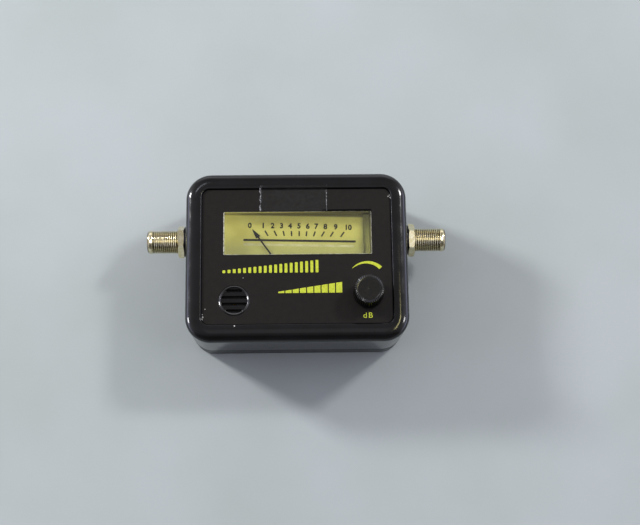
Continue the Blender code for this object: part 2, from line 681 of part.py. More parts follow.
def make_face_plate():
    bm = bmesh.new()
    add_stack(bm, [recess_ring(PLATE_CLEARANCE, PLATE_BOTTOM, PLATE_CORNER_STEPS),
                   recess_ring(PLATE_CLEARANCE, PLATE_TOP, PLATE_CORNER_STEPS)])
    plate = make_object("face_plate", bm, "plate")
    cuts = bmesh.new()
    low = PLATE_BOTTOM - OVERRUN
    high = PLATE_TOP + OVERRUN
    window = rounded_outline(WINDOW_WIDTH, WINDOW_HEIGHT, WINDOW_CORNER, WINDOW_CORNER_STEPS,
                             (WINDOW_X, WINDOW_Y))
    add_prism(cuts, window, low, high)
    add_prism(cuts, circle_outline(GRILLE_RADIUS, HOLE_SEGMENTS, (GRILLE_X, GRILLE_Y)), low, high)
    hole = SHAFT_RADIUS + 2 * SHAFT_HOLE_CLEARANCE
    add_prism(cuts, circle_outline(hole, HOLE_SEGMENTS, (KNOB_X, KNOB_Y)), low, high)
    combine(plate, make_tool("plate_openings", cuts), "DIFFERENCE")


def make_screws():
    seat = SCREW_SEAT_HEIGHT - SEAT_GAP
    tip = BOSS_BOTTOM + SCREW_ENGAGEMENT
    profile = [
        (0.0, seat - SCREW_HEAD_HEIGHT), (SCREW_HEAD_RADIUS - SCREW_HEAD_ROUND, seat - SCREW_HEAD_HEIGHT),
        (SCREW_HEAD_RADIUS, seat - SCREW_HEAD_HEIGHT / 2), (SCREW_HEAD_RADIUS, seat),
        (SCREW_RADIUS, seat), (SCREW_RADIUS, tip - SCREW_RADIUS), (0.0, tip),
    ]
    for index, (x, y) in enumerate(corner_places(), start=1):
        make_turned(f"housing_screw_{index}", profile, SCREW_SEGMENTS, "steel", location=(x, y, 0.0))


# Connectors


def make_connector(side, label):
    """A bulkhead F connector: body from inside, washer and nut on the seat outside."""
    face = CASE_WIDTH / 2 + PAD_STANDOUT
    tip = CASE_WIDTH / 2 + CONNECTOR_TIP
    flange = CASE_WIDTH / 2 - DRAFT_INSET - WALL + FLANGE_DRAFT_ROOM - SEAT_GAP
    shoulder = flange - FLANGE_THICKNESS
    tail = shoulder - TAIL_LENGTH
    collar = tip - MOUTH_COLLAR
    groove = THREAD_RADIUS - GROOVE_DEPTH
    body = [
        (CONNECTOR_BORE, tail), (TAIL_RADIUS, tail), (TAIL_RADIUS, shoulder),
        (FLANGE_RADIUS, shoulder), (FLANGE_RADIUS, flange), (THREAD_RADIUS, flange),
        (THREAD_RADIUS, collar - MOUTH_GROOVE), (groove, collar - MOUTH_GROOVE), (groove, collar),
        (THREAD_RADIUS, collar), (THREAD_RADIUS, tip - MOUTH_CHAMFER),
        (THREAD_RADIUS - MOUTH_CHAMFER, tip), (CONNECTOR_BORE, tip),
    ]
    place = {"location": (0.0, CONNECTOR_Y, CONNECTOR_Z), "rotation": (0.0, side * math.pi / 2, 0.0)}
    make_turned(f"connector_body_{label}", body, CONNECTOR_SEGMENTS, "nickel", closed=True, **place)

    outer = CONNECTOR_BORE - FINE_GAP
    inner = CONTACT_RADIUS + FINE_GAP
    ends = (tail + INSULATOR_SETBACK, tip - INSULATOR_SETBACK)
    insulator = [(inner, ends[0]), (outer, ends[0]), (outer, ends[1]), (inner, ends[1])]
    make_turned(f"connector_insulator_{label}", insulator, COMPONENT_SEGMENTS, "insulator",
                closed=True, **place)

    bore = THREAD_RADIUS + FINE_GAP
    washer_low = face + FINE_GAP
    washer_high = washer_low + WASHER_THICKNESS
    washer = [(bore, washer_low), (WASHER_RADIUS, washer_low),
              (WASHER_RADIUS, washer_high), (bore, washer_high)]
    make_turned(f"connector_washer_{label}", washer, CONNECTOR_SEGMENTS, "dark_steel",
                closed=True, **place)
    make_nut(f"connector_nut_{label}", washer_high + FINE_GAP, bore, place)
    make_contact(f"connector_contact_{label}", side, tail, tip)


def make_nut(name, low, bore, place):
    radius = NUT_ACROSS_FLATS / math.sqrt(3)
    turn = math.radians(NUT_TURN)
    hexagon = [(radius * math.cos(turn + k * math.pi / 3), radius * math.sin(turn + k * math.pi / 3))
               for k in range(6)]
    bm = bmesh.new()
    add_prism(bm, hexagon, low, low + NUT_THICKNESS)
    nut = make_object(name, bm, "nickel", **place)
    hole = bmesh.new()
    add_prism(hole, circle_outline(bore, CONNECTOR_SEGMENTS), low - OVERRUN, low + NUT_THICKNESS + OVERRUN)
    tool = make_tool(f"{name}_hole", hole)
    tool.location = place["location"]
    tool.rotation_euler = place["rotation"]
    combine(nut, tool, "DIFFERENCE")


def make_contact(name, side, tail, tip):
    """The centre contact, bent down behind the connector to its pad on the board."""
    inner = tail - CONTACT_REACH
    bend = inner - LEAD_BEND
    route = [
        (side * (tip - CONTACT_SETBACK), CONNECTOR_Y, CONNECTOR_Z),
        (side * tail, CONNECTOR_Y, CONNECTOR_Z),
        (side * inner, CONNECTOR_Y, CONNECTOR_Z),
        (side * bend, CONNECTOR_Y, CONNECTOR_Z - LEAD_BEND),
        (side * bend, CONNECTOR_Y, BOARD_TOP + SEAT_GAP),
    ]
    make_wire(name, route, CONTACT_RADIUS, "brass")


def make_wire(name, route, radius, material, smooth=False):
    points = smooth_route(route) if smooth else [Vector(point) for point in route]
    curve = bpy.data.curves.new(name, "CURVE")
    curve.dimensions = "3D"
    curve.bevel_depth = radius
    curve.bevel_resolution = 2
    curve.use_fill_caps = True
    spline = curve.splines.new("POLY")
    spline.points.add(len(points) - 1)
    for point, place in zip(spline.points, points):
        point.co = (*place, 1.0)
    curve.materials.append(MATERIALS[material])
    wire = bpy.data.objects.new(name, curve)
    bpy.context.scene.collection.objects.link(wire)
    return wire


def smooth_route(route):
    """Points on a smooth curve through the route's own points."""
    places = [Vector(point) for point in route]
    padded = [2 * places[0] - places[1]] + places + [2 * places[-1] - places[-2]]
    points = []
    for before, start, end, after in zip(padded, padded[1:], padded[2:], padded[3:]):
        for step in range(LEAD_STEPS):
            t = step / LEAD_STEPS
            cubic = ((3 * start - before - 3 * end + after) * t ** 3
                     + (2 * before - 5 * start + 4 * end - after) * t ** 2
                     + (end - before) * t) / 2 + start
            points.append(cubic)
    return points + [places[-1]]


# Knob and potentiometer


def fluted_ring(radius, height):
    """A ring of fine ridges and valleys round the knob."""
    points = []
    for index in range(2 * FLUTE_COUNT):
        angle = math.pi * index / FLUTE_COUNT
        reach = radius - FLUTE_DEPTH * (index % 2)
        points.append((reach * math.cos(angle), reach * math.sin(angle), height))
    return points


def make_knob(axis):
    top = KNOB_HEIGHT - KNOB_EDGE
    bm = bmesh.new()
    add_stack(bm, [
        fluted_ring(KNOB_BASE_RADIUS, 0.0),
        fluted_ring(KNOB_TOP_RADIUS, top),
        fluted_ring(KNOB_TOP_RADIUS - KNOB_EDGE, KNOB_HEIGHT),
    ])
    knob = make_object("knob", bm, "case", parent=axis)
    bore = bmesh.new()
    radius = SHAFT_RADIUS + FINE_GAP
    add_turned(bore, [(0.0, -OVERRUN), (radius, -OVERRUN), (radius, KNOB_BORE_DEPTH),
                      (0.0, KNOB_BORE_DEPTH)], COMPONENT_SEGMENTS)
    tool = make_tool("knob_bore", bore)
    tool.parent = axis
    combine(knob, tool, "DIFFERENCE")


def make_potentiometer(axis):
    bottom = BOARD_TOP + SEAT_GAP
    top = bottom + POT_HEIGHT
    half = POT_WIDTH / 2
    floor = bottom + POT_WALL
    rotor_radius = half - POT_WALL - SEAT_GAP
    ceiling = floor + ROTOR_HEIGHT + 2 * SEAT_GAP
    bm = bmesh.new()
    add_block(bm, -half, half, -half, half, bottom, top)
    body = make_object("potentiometer_body", bm, "component", location=(KNOB_X, KNOB_Y, 0.0))
    bushing = bmesh.new()
    add_turned(bushing, [(0.0, top - EMBED), (BUSHING_RADIUS, top - EMBED),
                         (BUSHING_RADIUS, top + BUSHING_LENGTH), (0.0, top + BUSHING_LENGTH)],
               COMPONENT_SEGMENTS)
    cavity = bmesh.new()
    bore = SHAFT_RADIUS + FINE_GAP
    add_turned(cavity, [(0.0, floor), (half - POT_WALL, floor), (half - POT_WALL, ceiling),
                        (bore, ceiling), (bore, top + BUSHING_LENGTH + OVERRUN),
                        (0.0, top + BUSHING_LENGTH + OVERRUN)], COMPONENT_SEGMENTS)
    for name, tool_mesh, operation in (("bushing", bushing, "UNION"), ("cavity", cavity, "DIFFERENCE")):
        tool = make_tool(f"potentiometer_{name}", tool_mesh)
        tool.location = body.location
        combine(body, tool, operation)

    # The shaft turns with the knob, so its heights are counted from the knob's underside
    rotor_low = floor + SEAT_GAP - KNOB_BOTTOM
    shaft_top = KNOB_BORE_DEPTH - SEAT_GAP
    make_turned("potentiometer_shaft", [
        (0.0, rotor_low), (rotor_radius, rotor_low), (rotor_radius, rotor_low + ROTOR_HEIGHT),
        (SHAFT_RADIUS, rotor_low + ROTOR_HEIGHT), (SHAFT_RADIUS, shaft_top), (0.0, shaft_top),
    ], COMPONENT_SEGMENTS, "insulator", parent=axis)


# Meter case and dial


def make_meter_base():
    bm = bmesh.new()
    top = METER_SPLIT - SEAT_GAP / 2
    add_stack(bm, [meter_ring(0.0, BASE_BOTTOM), meter_ring(0.0, top),
                   meter_ring(METER_WALL, top), meter_ring(METER_WALL, BASE_FLOOR)])
    base = make_object("meter_base", bm, "base")
    posts = bmesh.new()
    post_top = DIAL_TOP - DIAL_THICKNESS - DIFFUSER_THICKNESS - 2 * SEAT_GAP
    for side in (-1, 1):
        matrix = Matrix.Translation((WINDOW_X + side * (WINDOW_WIDTH / 2 - DIAL_POST_INSET), WINDOW_Y, 0.0))
        profile = [(0.0, BASE_FLOOR - METER_WALL / 2), (DIAL_POST_RADIUS, BASE_FLOOR - METER_WALL / 2),
                   (DIAL_POST_RADIUS, post_top), (0.0, post_top)]
        add_turned(posts, profile, COMPONENT_SEGMENTS, matrix)
    combine(base, make_tool("dial_posts", posts), "UNION")
    holes = bmesh.new()
    hole = LAMP_LEAD_RADIUS + LAMP_LEAD_ROOM
    for side in (-1, 1):
        centre = (WINDOW_X + side * LAMP_LEAD_SPACING / 2, WINDOW_Y)
        outline = circle_outline(hole, COMPONENT_SEGMENTS, centre)
        add_prism(holes, outline, BASE_BOTTOM - OVERRUN, BASE_FLOOR + OVERRUN)
    combine(base, make_tool("lamp_lead_holes", holes), "DIFFERENCE")


def make_meter_lid():
    bm = bmesh.new()
    low = METER_SPLIT + SEAT_GAP / 2
    add_stack(bm, [meter_ring(METER_WALL, LID_TOP - LID_THICKNESS), meter_ring(METER_WALL, low),
                   meter_ring(0.0, low), meter_ring(0.0, LID_TOP)])
    lid = make_object("meter_lid", bm, "clear")
    width = WINDOW_WIDTH + 2 * (OPENING_MARGIN - SEAT_GAP)
    depth = WINDOW_HEIGHT + 2 * (OPENING_MARGIN - SEAT_GAP)
    centre = (WINDOW_X, WINDOW_Y)
    lens = bmesh.new()
    add_prism(lens, rounded_outline(width, depth, WINDOW_CORNER, WINDOW_CORNER_STEPS, centre),
              LID_TOP - LID_THICKNESS / 2, LENS_TOP)
    combine(lid, make_tool("lens", lens), "UNION")
    pocket = bmesh.new()
    inner = rounded_outline(width - 2 * LENS_THICKNESS, depth - 2 * LENS_THICKNESS, WINDOW_CORNER,
                            WINDOW_CORNER_STEPS, centre)
    add_prism(pocket, inner, LID_TOP - LID_THICKNESS - OVERRUN, LENS_TOP - LENS_THICKNESS)
    combine(lid, make_tool("lens_pocket", pocket), "DIFFERENCE")


def make_dial():
    half = METER_HALF_WIDTH - METER_WALL - DIAL_ROOM
    film_end = WINDOW_X + WINDOW_WIDTH / 2 - DIAL_RIGHT_MARGIN
    film = bmesh.new()
    add_block(film, WINDOW_X - half, film_end, DIAL_LOW_EDGE, DIAL_TOP_EDGE,
              DIAL_TOP - DIAL_THICKNESS, DIAL_TOP)
    make_object("dial_plate", film, "dial")
    diffuser = bmesh.new()
    diffuser_top = DIAL_TOP - DIAL_THICKNESS - SEAT_GAP
    add_block(diffuser, WINDOW_X - half, WINDOW_X + half, DIAL_LOW_EDGE, DIAL_TOP_EDGE,
              diffuser_top - DIFFUSER_THICKNESS, diffuser_top)
    make_object("light_diffuser", diffuser, "diffuser")


def make_lamp():
    low = BASE_FLOOR + SEAT_GAP
    shoulder = low + LAMP_FLANGE_HEIGHT
    straight = low + LAMP_HEIGHT - LAMP_RADIUS
    profile = [(0.0, low), (LAMP_FLANGE_RADIUS, low), (LAMP_FLANGE_RADIUS, shoulder),
               (LAMP_RADIUS, shoulder)]
    for step in range(ROUND_STEPS):
        angle = math.pi / 2 * step / ROUND_STEPS
        profile.append((LAMP_RADIUS * math.cos(angle), straight + LAMP_RADIUS * math.sin(angle)))
    profile.append((0.0, low + LAMP_HEIGHT))
    make_turned("dial_lamp", profile, COMPONENT_SEGMENTS, "diffuser", location=(WINDOW_X, WINDOW_Y, 0.0))
    for label, side in (("left", -1), ("right", 1)):
        x = WINDOW_X + side * LAMP_LEAD_SPACING / 2
        route = [(x, WINDOW_Y, low - SEAT_GAP), (x, WINDOW_Y, BOARD_TOP + SEAT_GAP)]
        make_wire(f"lamp_lead_{label}", route, LAMP_LEAD_RADIUS, "steel")


# Movement


def make_needle(axis):
    """The pointer: a flat strip with a crank up over the dial, an arrow head and a weighted tail."""
    lift = DIAL_TOP + NEEDLE_LIFT
    head = NEEDLE_LENGTH - HEAD_LENGTH
    crank_start, crank_end = (share * (DIAL_LOW_EDGE - PIVOT_Y) for share in CRANK_SHARES)
    stations = [
        (-TAIL_WEIGHT_REACH, NEEDLE_HALF_WIDTH, HUB_BOTTOM),
        (crank_start, NEEDLE_HALF_WIDTH, HUB_BOTTOM),
        (crank_end, NEEDLE_HALF_WIDTH, lift),
        (head, NEEDLE_HALF_WIDTH, lift),
        (head + NEEDLE_HALF_WIDTH, HEAD_HALF_WIDTH, lift),
        (NEEDLE_LENGTH, NEEDLE_THICKNESS / 2, lift),
    ]
    bm = bmesh.new()
    add_stack(bm, [
        [(half, y, z), (half, y, z + NEEDLE_THICKNESS), (-half, y, z + NEEDLE_THICKNESS), (-half, y, z)]
        for y, half, z in stations
    ])
    needle = make_object("needle", bm, "needle", parent=axis)
    extras = bmesh.new()
    add_turned(extras, [(0.0, HUB_BOTTOM), (HUB_RADIUS, HUB_BOTTOM), (HUB_RADIUS, HUB_TOP), (0.0, HUB_TOP)],
               COMPONENT_SEGMENTS)
    weight_low = HUB_BOTTOM - TAIL_WEIGHT_DROP
    add_turned(extras, [(0.0, weight_low), (TAIL_WEIGHT_RADIUS, weight_low),
                        (TAIL_WEIGHT_RADIUS, HUB_TOP), (0.0, HUB_TOP)],
               COMPONENT_SEGMENTS, Matrix.Translation((0.0, -TAIL_WEIGHT_REACH, 0.0)))
    hole = bmesh.new()
    add_prism(hole, circle_outline(PIVOT_RADIUS + FINE_GAP, COMPONENT_SEGMENTS),
              HUB_BOTTOM - OVERRUN, HUB_TOP + OVERRUN)
    for name, tool_mesh, operation in (("hub", extras, "UNION"), ("hole", hole, "DIFFERENCE")):
        tool = make_tool(f"needle_{name}", tool_mesh)
        tool.parent = axis
        combine(needle, tool, operation)


def make_coil(axis):
    """A flat rectangular winding that stands round the core."""
    inner = CORE_RADIUS + COIL_CLEARANCE
    outer = inner + COIL_SECTION + FINE_GAP
    loops = []
    for reach, low, high in ((outer, COIL_BOTTOM, COIL_TOP),
                             (inner, COIL_BOTTOM + COIL_SECTION, COIL_TOP - COIL_SECTION)):
        corners = [(reach, high), (-reach, high), (-reach, low), (reach, low)]
        for y in (-COIL_DEPTH / 2, COIL_DEPTH / 2):
            loops.append([(x, y, z) for x, z in corners])
    bm = bmesh.new()
    rings = [[bm.verts.new(point) for point in loops[k]] for k in (0, 1, 3, 2)]
    for index, ring in enumerate(rings):
        skin_between(bm, rings[index - 1], ring)
    make_object("moving_coil", bm, "copper", parent=axis)


def make_pivots(axis):
    collar_low = COIL_TOP + FINE_GAP
    tip = BRIDGE_BOTTOM - JEWEL_STANDOUT + PIVOT_ENTRY
    make_turned("pivot_front", [
        (0.0, collar_low), (PIVOT_COLLAR_RADIUS, collar_low),
        (PIVOT_COLLAR_RADIUS, collar_low + PIVOT_COLLAR_HEIGHT),
        (PIVOT_RADIUS, collar_low + PIVOT_COLLAR_HEIGHT), (PIVOT_RADIUS, tip - PIVOT_RADIUS), (0.0, tip),
    ], COMPONENT_SEGMENTS, "steel", parent=axis)
    collar_high = COIL_BOTTOM - FINE_GAP
    tip = FRAME_TOP + JEWEL_STANDOUT - PIVOT_ENTRY
    make_turned("pivot_rear", [
        (0.0, collar_high), (PIVOT_COLLAR_RADIUS, collar_high),
        (PIVOT_COLLAR_RADIUS, collar_high - PIVOT_COLLAR_HEIGHT),
        (PIVOT_RADIUS, collar_high - PIVOT_COLLAR_HEIGHT), (PIVOT_RADIUS, tip + PIVOT_RADIUS), (0.0, tip),
    ], COMPONENT_SEGMENTS, "steel", parent=axis)


def make_jewels(place):
    low = BRIDGE_BOTTOM - JEWEL_STANDOUT
    high = BRIDGE_TOP + JEWEL_STANDOUT
    make_turned("jewel_screw_front", [
        (0.0, high), (JEWEL_RADIUS, high), (JEWEL_RADIUS, low), (JEWEL_CUP_RADIUS, low),
        (JEWEL_CUP_RADIUS, low + JEWEL_CUP_DEPTH), (0.0, low + JEWEL_CUP_DEPTH),
    ], COMPONENT_SEGMENTS, "brass", location=place)
    high = FRAME_TOP + JEWEL_STANDOUT
    make_turned("jewel_screw_rear", [
        (0.0, FRAME_BOTTOM), (JEWEL_RADIUS, FRAME_BOTTOM), (JEWEL_RADIUS, high), (JEWEL_CUP_RADIUS, high),
        (JEWEL_CUP_RADIUS, high - JEWEL_CUP_DEPTH), (0.0, high - JEWEL_CUP_DEPTH),
    ], COMPONENT_SEGMENTS, "brass", location=place)


def make_hairspring(name, low, place):
    """A flat spiral strip that carries current to the coil and returns the needle."""
    count = int(SPRING_TURNS * SPRING_STEPS)
    sections = []
    for index in range(count + 1):
        share = index / count
        angle = 2 * math.pi * SPRING_TURNS * share
        radius = SPRING_INNER_RADIUS + (SPRING_OUTER_RADIUS - SPRING_INNER_RADIUS) * share
        direction = Vector((math.cos(angle), math.sin(angle), 0.0))
        inner = direction * (radius - SPRING_STRIP / 2)
        outer = direction * (radius + SPRING_STRIP / 2)
        rise = Vector((0.0, 0.0, SPRING_HEIGHT))
        bottom = Vector((0.0, 0.0, low))
        sections.append([inner + bottom, outer + bottom, outer + bottom + rise, inner + bottom + rise])
    bm = bmesh.new()
    add_stack(bm, sections)
    make_object(name, bm, "bronze", location=place)


def make_magnet_system(place):
    make_turned("core_magnet", [(0.0, CORE_BOTTOM), (CORE_RADIUS, CORE_BOTTOM), (CORE_RADIUS, CORE_TOP),
                                (0.0, CORE_TOP)], YOKE_SEGMENTS, "magnet", location=place)
    make_turned("yoke_ring", [(YOKE_BORE_RADIUS, YOKE_BOTTOM), (YOKE_RADIUS, YOKE_BOTTOM),
                              (YOKE_RADIUS, YOKE_TOP), (YOKE_BORE_RADIUS, YOKE_TOP)],
                YOKE_SEGMENTS, "iron", closed=True, location=place)


def make_frame(place):
    """The rear bearing bar, with two clamps that rise through the air gap to hold the core."""
    bm = bmesh.new()
    add_block(bm, -FRAME_HALF_WIDTH, FRAME_HALF_WIDTH, -YOKE_RADIUS, YOKE_RADIUS, FRAME_BOTTOM, FRAME_TOP)
    frame = make_object("movement_frame", bm, "base", location=place)
    clamps = bmesh.new()
    near = CORE_RADIUS + SEAT_GAP
    far = YOKE_BORE_RADIUS - CLAMP_YOKE_ROOM
    for side in (-1, 1):
        # Each clamp is one L seen from the side: a post and a foot under the core
        foot_top = CORE_BOTTOM - SEAT_GAP
        outline = [
            (far, FRAME_TOP - FRAME_THICKNESS / 2), (far, CORE_TOP), (near, CORE_TOP), (near, foot_top),
            (near - FOOT_LENGTH, foot_top), (near - FOOT_LENGTH, foot_top - FOOT_HEIGHT),
            (near, foot_top - FOOT_HEIGHT), (near, FRAME_TOP - FRAME_THICKNESS / 2),
        ]
        add_stack(clamps, [[(x, side * y, z) for y, z in outline]
                           for x in (-FOOT_HALF_WIDTH, FOOT_HALF_WIDTH)])
    tool = make_tool("core_clamps", clamps)
    tool.location = place
    combine(frame, tool, "UNION")
    cut_jewel_hole(frame, "frame_jewel_hole", FRAME_BOTTOM, FRAME_TOP, place)


def make_bridge(place):
    """The front bearing bridge, standing on the yoke ring to each side of the needle."""
    foot = YOKE_TOP + FINE_GAP
    outer = YOKE_RADIUS
    inner = YOKE_BORE_RADIUS
    outline = [
        (outer, foot), (outer, BRIDGE_TOP), (-outer, BRIDGE_TOP), (-outer, foot),
        (-inner, foot), (-inner, BRIDGE_BOTTOM), (inner, BRIDGE_BOTTOM), (inner, foot),
    ]
    bm = bmesh.new()
    add_stack(bm, [[(x, y, z) for x, z in outline] for y in (-BRIDGE_HALF_WIDTH, BRIDGE_HALF_WIDTH)])
    bridge = make_object("front_bridge", bm, "brass", location=place)
    cut_jewel_hole(bridge, "bridge_jewel_hole", BRIDGE_BOTTOM, BRIDGE_TOP, place)


def cut_jewel_hole(target, name, low, high, place):
    hole = bmesh.new()
    outline = circle_outline(JEWEL_RADIUS + FINE_GAP, COMPONENT_SEGMENTS)
    add_prism(hole, outline, low - OVERRUN, high + OVERRUN)
    tool = make_tool(name, hole)
    tool.location = place
    combine(target, tool, "DIFFERENCE")


# Buzzer


def make_buzzer():
    place = (GRILLE_X, GRILLE_Y, 0.0)
    top = PANEL_BOTTOM - SEAT_GAP
    low = top - BUZZER_HEIGHT
    bore = BUZZER_RADIUS - BUZZER_WALL
    make_turned("buzzer_case", [
        (BUZZER_HOLE_RADIUS, top), (BUZZER_RADIUS, top), (BUZZER_RADIUS, low), (bore, low),
        (bore, top - BUZZER_WALL), (BUZZER_HOLE_RADIUS, top - BUZZER_WALL),
    ], BUZZER_SEGMENTS, "component", closed=True, location=place)
    disc_top = top - BUZZER_DISC_DROP
    disc_low = disc_top - BUZZER_DISC_THICKNESS
    disc = bore - SEAT_GAP
    make_turned("buzzer_disc", [(0.0, disc_low), (disc, disc_low), (disc, disc_top), (0.0, disc_top)],
                BUZZER_SEGMENTS, "brass", location=place)
    seat = disc_low - SEAT_GAP
    floor = low + BUZZER_BASE_THICKNESS
    make_turned("buzzer_base", [
        (0.0, low), (disc, low), (disc, seat), (disc - BUZZER_WALL, seat),
        (disc - BUZZER_WALL, floor), (0.0, floor),
    ], BUZZER_SEGMENTS, "component", location=place)
    board_end = BUZZER_LEAD_SHARE * BOARD_HALF_DEPTH
    for label, side in (("red", -1), ("black", 1)):
        x = GRILLE_X + side * LEAD_SPACING / 2
        fall = low - SEAT_GAP - BOARD_TOP
        route = [
            (x, GRILLE_Y, low - SEAT_GAP),
            (x, GRILLE_Y, low - fall * BUZZER_LEAD_STRAIGHT),
            (x + side * LEAD_BEND / 2, (GRILLE_Y + board_end) / 2, low - fall / 2),
            (x, board_end, BOARD_TOP + fall * BUZZER_LEAD_STRAIGHT),
            (x, board_end, BOARD_TOP + SEAT_GAP),
        ]
        make_wire(f"buzzer_lead_{label}", route, LEAD_RADIUS, label, smooth=True)


# Circuit board and what stands on it


def make_board():
    bm = bmesh.new()
    add_block(bm, -BOARD_HALF_WIDTH, BOARD_HALF_WIDTH, -BOARD_HALF_DEPTH, BOARD_HALF_DEPTH,
              BOARD_BOTTOM, BOARD_TOP)
    board = make_object("circuit_board", bm, "board")
    holes = bmesh.new()
    for side in (-1, 1):
        centre = (side * BOARD_POST_X, BOARD_POST_Y)
        outline = circle_outline(SCREW_RADIUS + SEAT_GAP, COMPONENT_SEGMENTS, centre)
        add_prism(holes, outline, BOARD_BOTTOM - OVERRUN, BOARD_TOP + OVERRUN)
    combine(board, make_tool("board_holes", holes), "DIFFERENCE")
    head_top = BOARD_BOTTOM - SEAT_GAP
    head_low = head_top - BOARD_SCREW_HEAD_HEIGHT
    tip = head_top + BOARD_SCREW_LENGTH
    profile = [
        (0.0, head_low), (BOARD_SCREW_HEAD_RADIUS, head_low), (BOARD_SCREW_HEAD_RADIUS, head_top),
        (SCREW_RADIUS, head_top), (SCREW_RADIUS, tip - SCREW_RADIUS), (0.0, tip),
    ]
    for label, side in (("left", -1), ("right", 1)):
        make_turned(f"board_screw_{label}", profile, SCREW_SEGMENTS, "steel",
                    location=(side * BOARD_POST_X, BOARD_POST_Y, 0.0))


def under_board(share):
    return (share[0] * BOARD_HALF_WIDTH, share[1] * BOARD_HALF_DEPTH, BOARD_BOTTOM - SEAT_GAP)


def make_capacitors():
    radii = (CAPACITOR_LARGE_RADIUS, CAPACITOR_SMALL_RADIUS, CAPACITOR_SMALL_RADIUS)
    row = (METER_SHOULDER - BOARD_HALF_DEPTH) / 2
    for index, (radius, share) in enumerate(zip(radii, CAPACITOR_SHARES), start=1):
        profile = [(0.0, 0.0), (radius, 0.0), (radius, CAPACITOR_HEIGHT - CAPACITOR_ROUND),
                   (radius - CAPACITOR_ROUND, CAPACITOR_HEIGHT), (0.0, CAPACITOR_HEIGHT)]
        x = -BOARD_HALF_WIDTH + share * (NECK_LEFT + BOARD_HALF_WIDTH)
        make_turned(f"capacitor_{index}", profile, COMPONENT_SEGMENTS, "capacitor",
                    location=(x, row, BOARD_TOP + SEAT_GAP))


def make_transistors():
    names = ("transistor_1", "transistor_2", "voltage_regulator")
    limit = math.acos(TRANSISTOR_FLAT / TRANSISTOR_RADIUS)
    outline = []
    for step in range(COMPONENT_SEGMENTS + 1):
        angle = limit + (2 * math.pi - 2 * limit) * step / COMPONENT_SEGMENTS
        outline.append((TRANSISTOR_RADIUS * math.cos(angle), TRANSISTOR_RADIUS * math.sin(angle)))
    for name, share in zip(names, TRANSISTOR_SHARES):
        bm = bmesh.new()
        add_prism(bm, outline, -TRANSISTOR_HEIGHT, 0.0)
        make_object(name, bm, "component", location=under_board(share))


def make_resistors():
    half = RESISTOR_LENGTH / 2
    bead = RESISTOR_LENGTH / 4
    profile = [(0.0, -half), (RESISTOR_RADIUS, RESISTOR_RADIUS / 2 - half), (RESISTOR_RADIUS, bead - half),
               (RESISTOR_WAIST, bead - half + RESISTOR_WAIST / 2),
               (RESISTOR_WAIST, half - bead - RESISTOR_WAIST / 2),
               (RESISTOR_RADIUS, half - bead), (RESISTOR_RADIUS, half - RESISTOR_RADIUS / 2), (0.0, half)]
    x, y, z = under_board(RESISTOR_SHARE)
    for index in (1, 2):
        make_turned(f"resistor_{index}", profile, COMPONENT_SEGMENTS, "resistor",
                    location=(x, y - (index - 1) * RESISTOR_PITCH, z - RESISTOR_RADIUS),
                    rotation=(0.0, math.pi / 2, 0.0))


def make_chokes():
    """Air-wound coils of bare wire, lying between the meter and each end of the board."""
    y = CONNECTOR_Y - CHOKE_BELOW_CONNECTOR
    z = BOARD_TOP + SEAT_GAP
    for label, side in (("left", -1), ("right", 1)):
        x = (WINDOW_X + side * (METER_HALF_WIDTH + BOARD_HALF_WIDTH)) / 2
        route = []
        for index in range(CHOKE_TURNS * CHOKE_STEPS + 1):
            turn = index / CHOKE_STEPS
            angle = 2 * math.pi * turn
            route.append((x + CHOKE_RADIUS * math.cos(angle), y + CHOKE_PITCH * (turn - CHOKE_TURNS / 2),
                          z + CHOKE_RADIUS + CHOKE_WIRE_RADIUS + CHOKE_RADIUS * math.sin(angle)))
        make_wire(f"choke_{label}", route, CHOKE_WIRE_RADIUS, "copper").data.bevel_resolution = 1


def make_chip():
    """The amplifier, soldered under the board."""
    x, y, top = under_board(CHIP_SHARE)
    bm = bmesh.new()
    add_block(bm, -CHIP_WIDTH / 2, CHIP_WIDTH / 2, -CHIP_DEPTH / 2, CHIP_DEPTH / 2,
              top - CHIP_HEIGHT, top - CHIP_LEG_WIDTH)
    chip = make_object("amplifier_chip", bm, "component", location=(x, y, 0.0))
    legs = bmesh.new()
    for index in range(CHIP_LEGS_A_SIDE):
        middle = (index - (CHIP_LEGS_A_SIDE - 1) / 2) * CHIP_LEG_PITCH
        for side in (-1, 1):
            inner = side * (CHIP_DEPTH / 2 - CHIP_LEG_WIDTH)
            outer = side * (CHIP_DEPTH / 2 + CHIP_LEG_REACH)
            low, high = sorted((inner, outer))
            add_block(legs, middle - CHIP_LEG_WIDTH / 2, middle + CHIP_LEG_WIDTH / 2, low, high,
                      top - CHIP_HEIGHT / 2, top)
    tool = make_tool("chip_legs", legs)
    tool.location = chip.location
    combine(chip, tool, "UNION")


def make_meter_leads():
    """Two short leads from the movement, out through the neck's left side and down to the board."""
    wall = NECK_LEFT - SEAT_GAP
    bend = wall - LEAD_BEND
    high = BOARD_TOP + METER_LEAD_RISE
    for label, side in (("red", -1), ("black", 1)):
        y = PIVOT_Y + side * METER_LEAD_SPACING / 2
        route = [
            (wall, y, high),
            (wall - LEAD_BEND / 2, y, high),
            (bend, y, high - LEAD_BEND / 2),
            (bend, y, BOARD_TOP + SEAT_GAP),
        ]
        make_wire(f"meter_lead_{label}", route, LEAD_RADIUS, label, smooth=True)


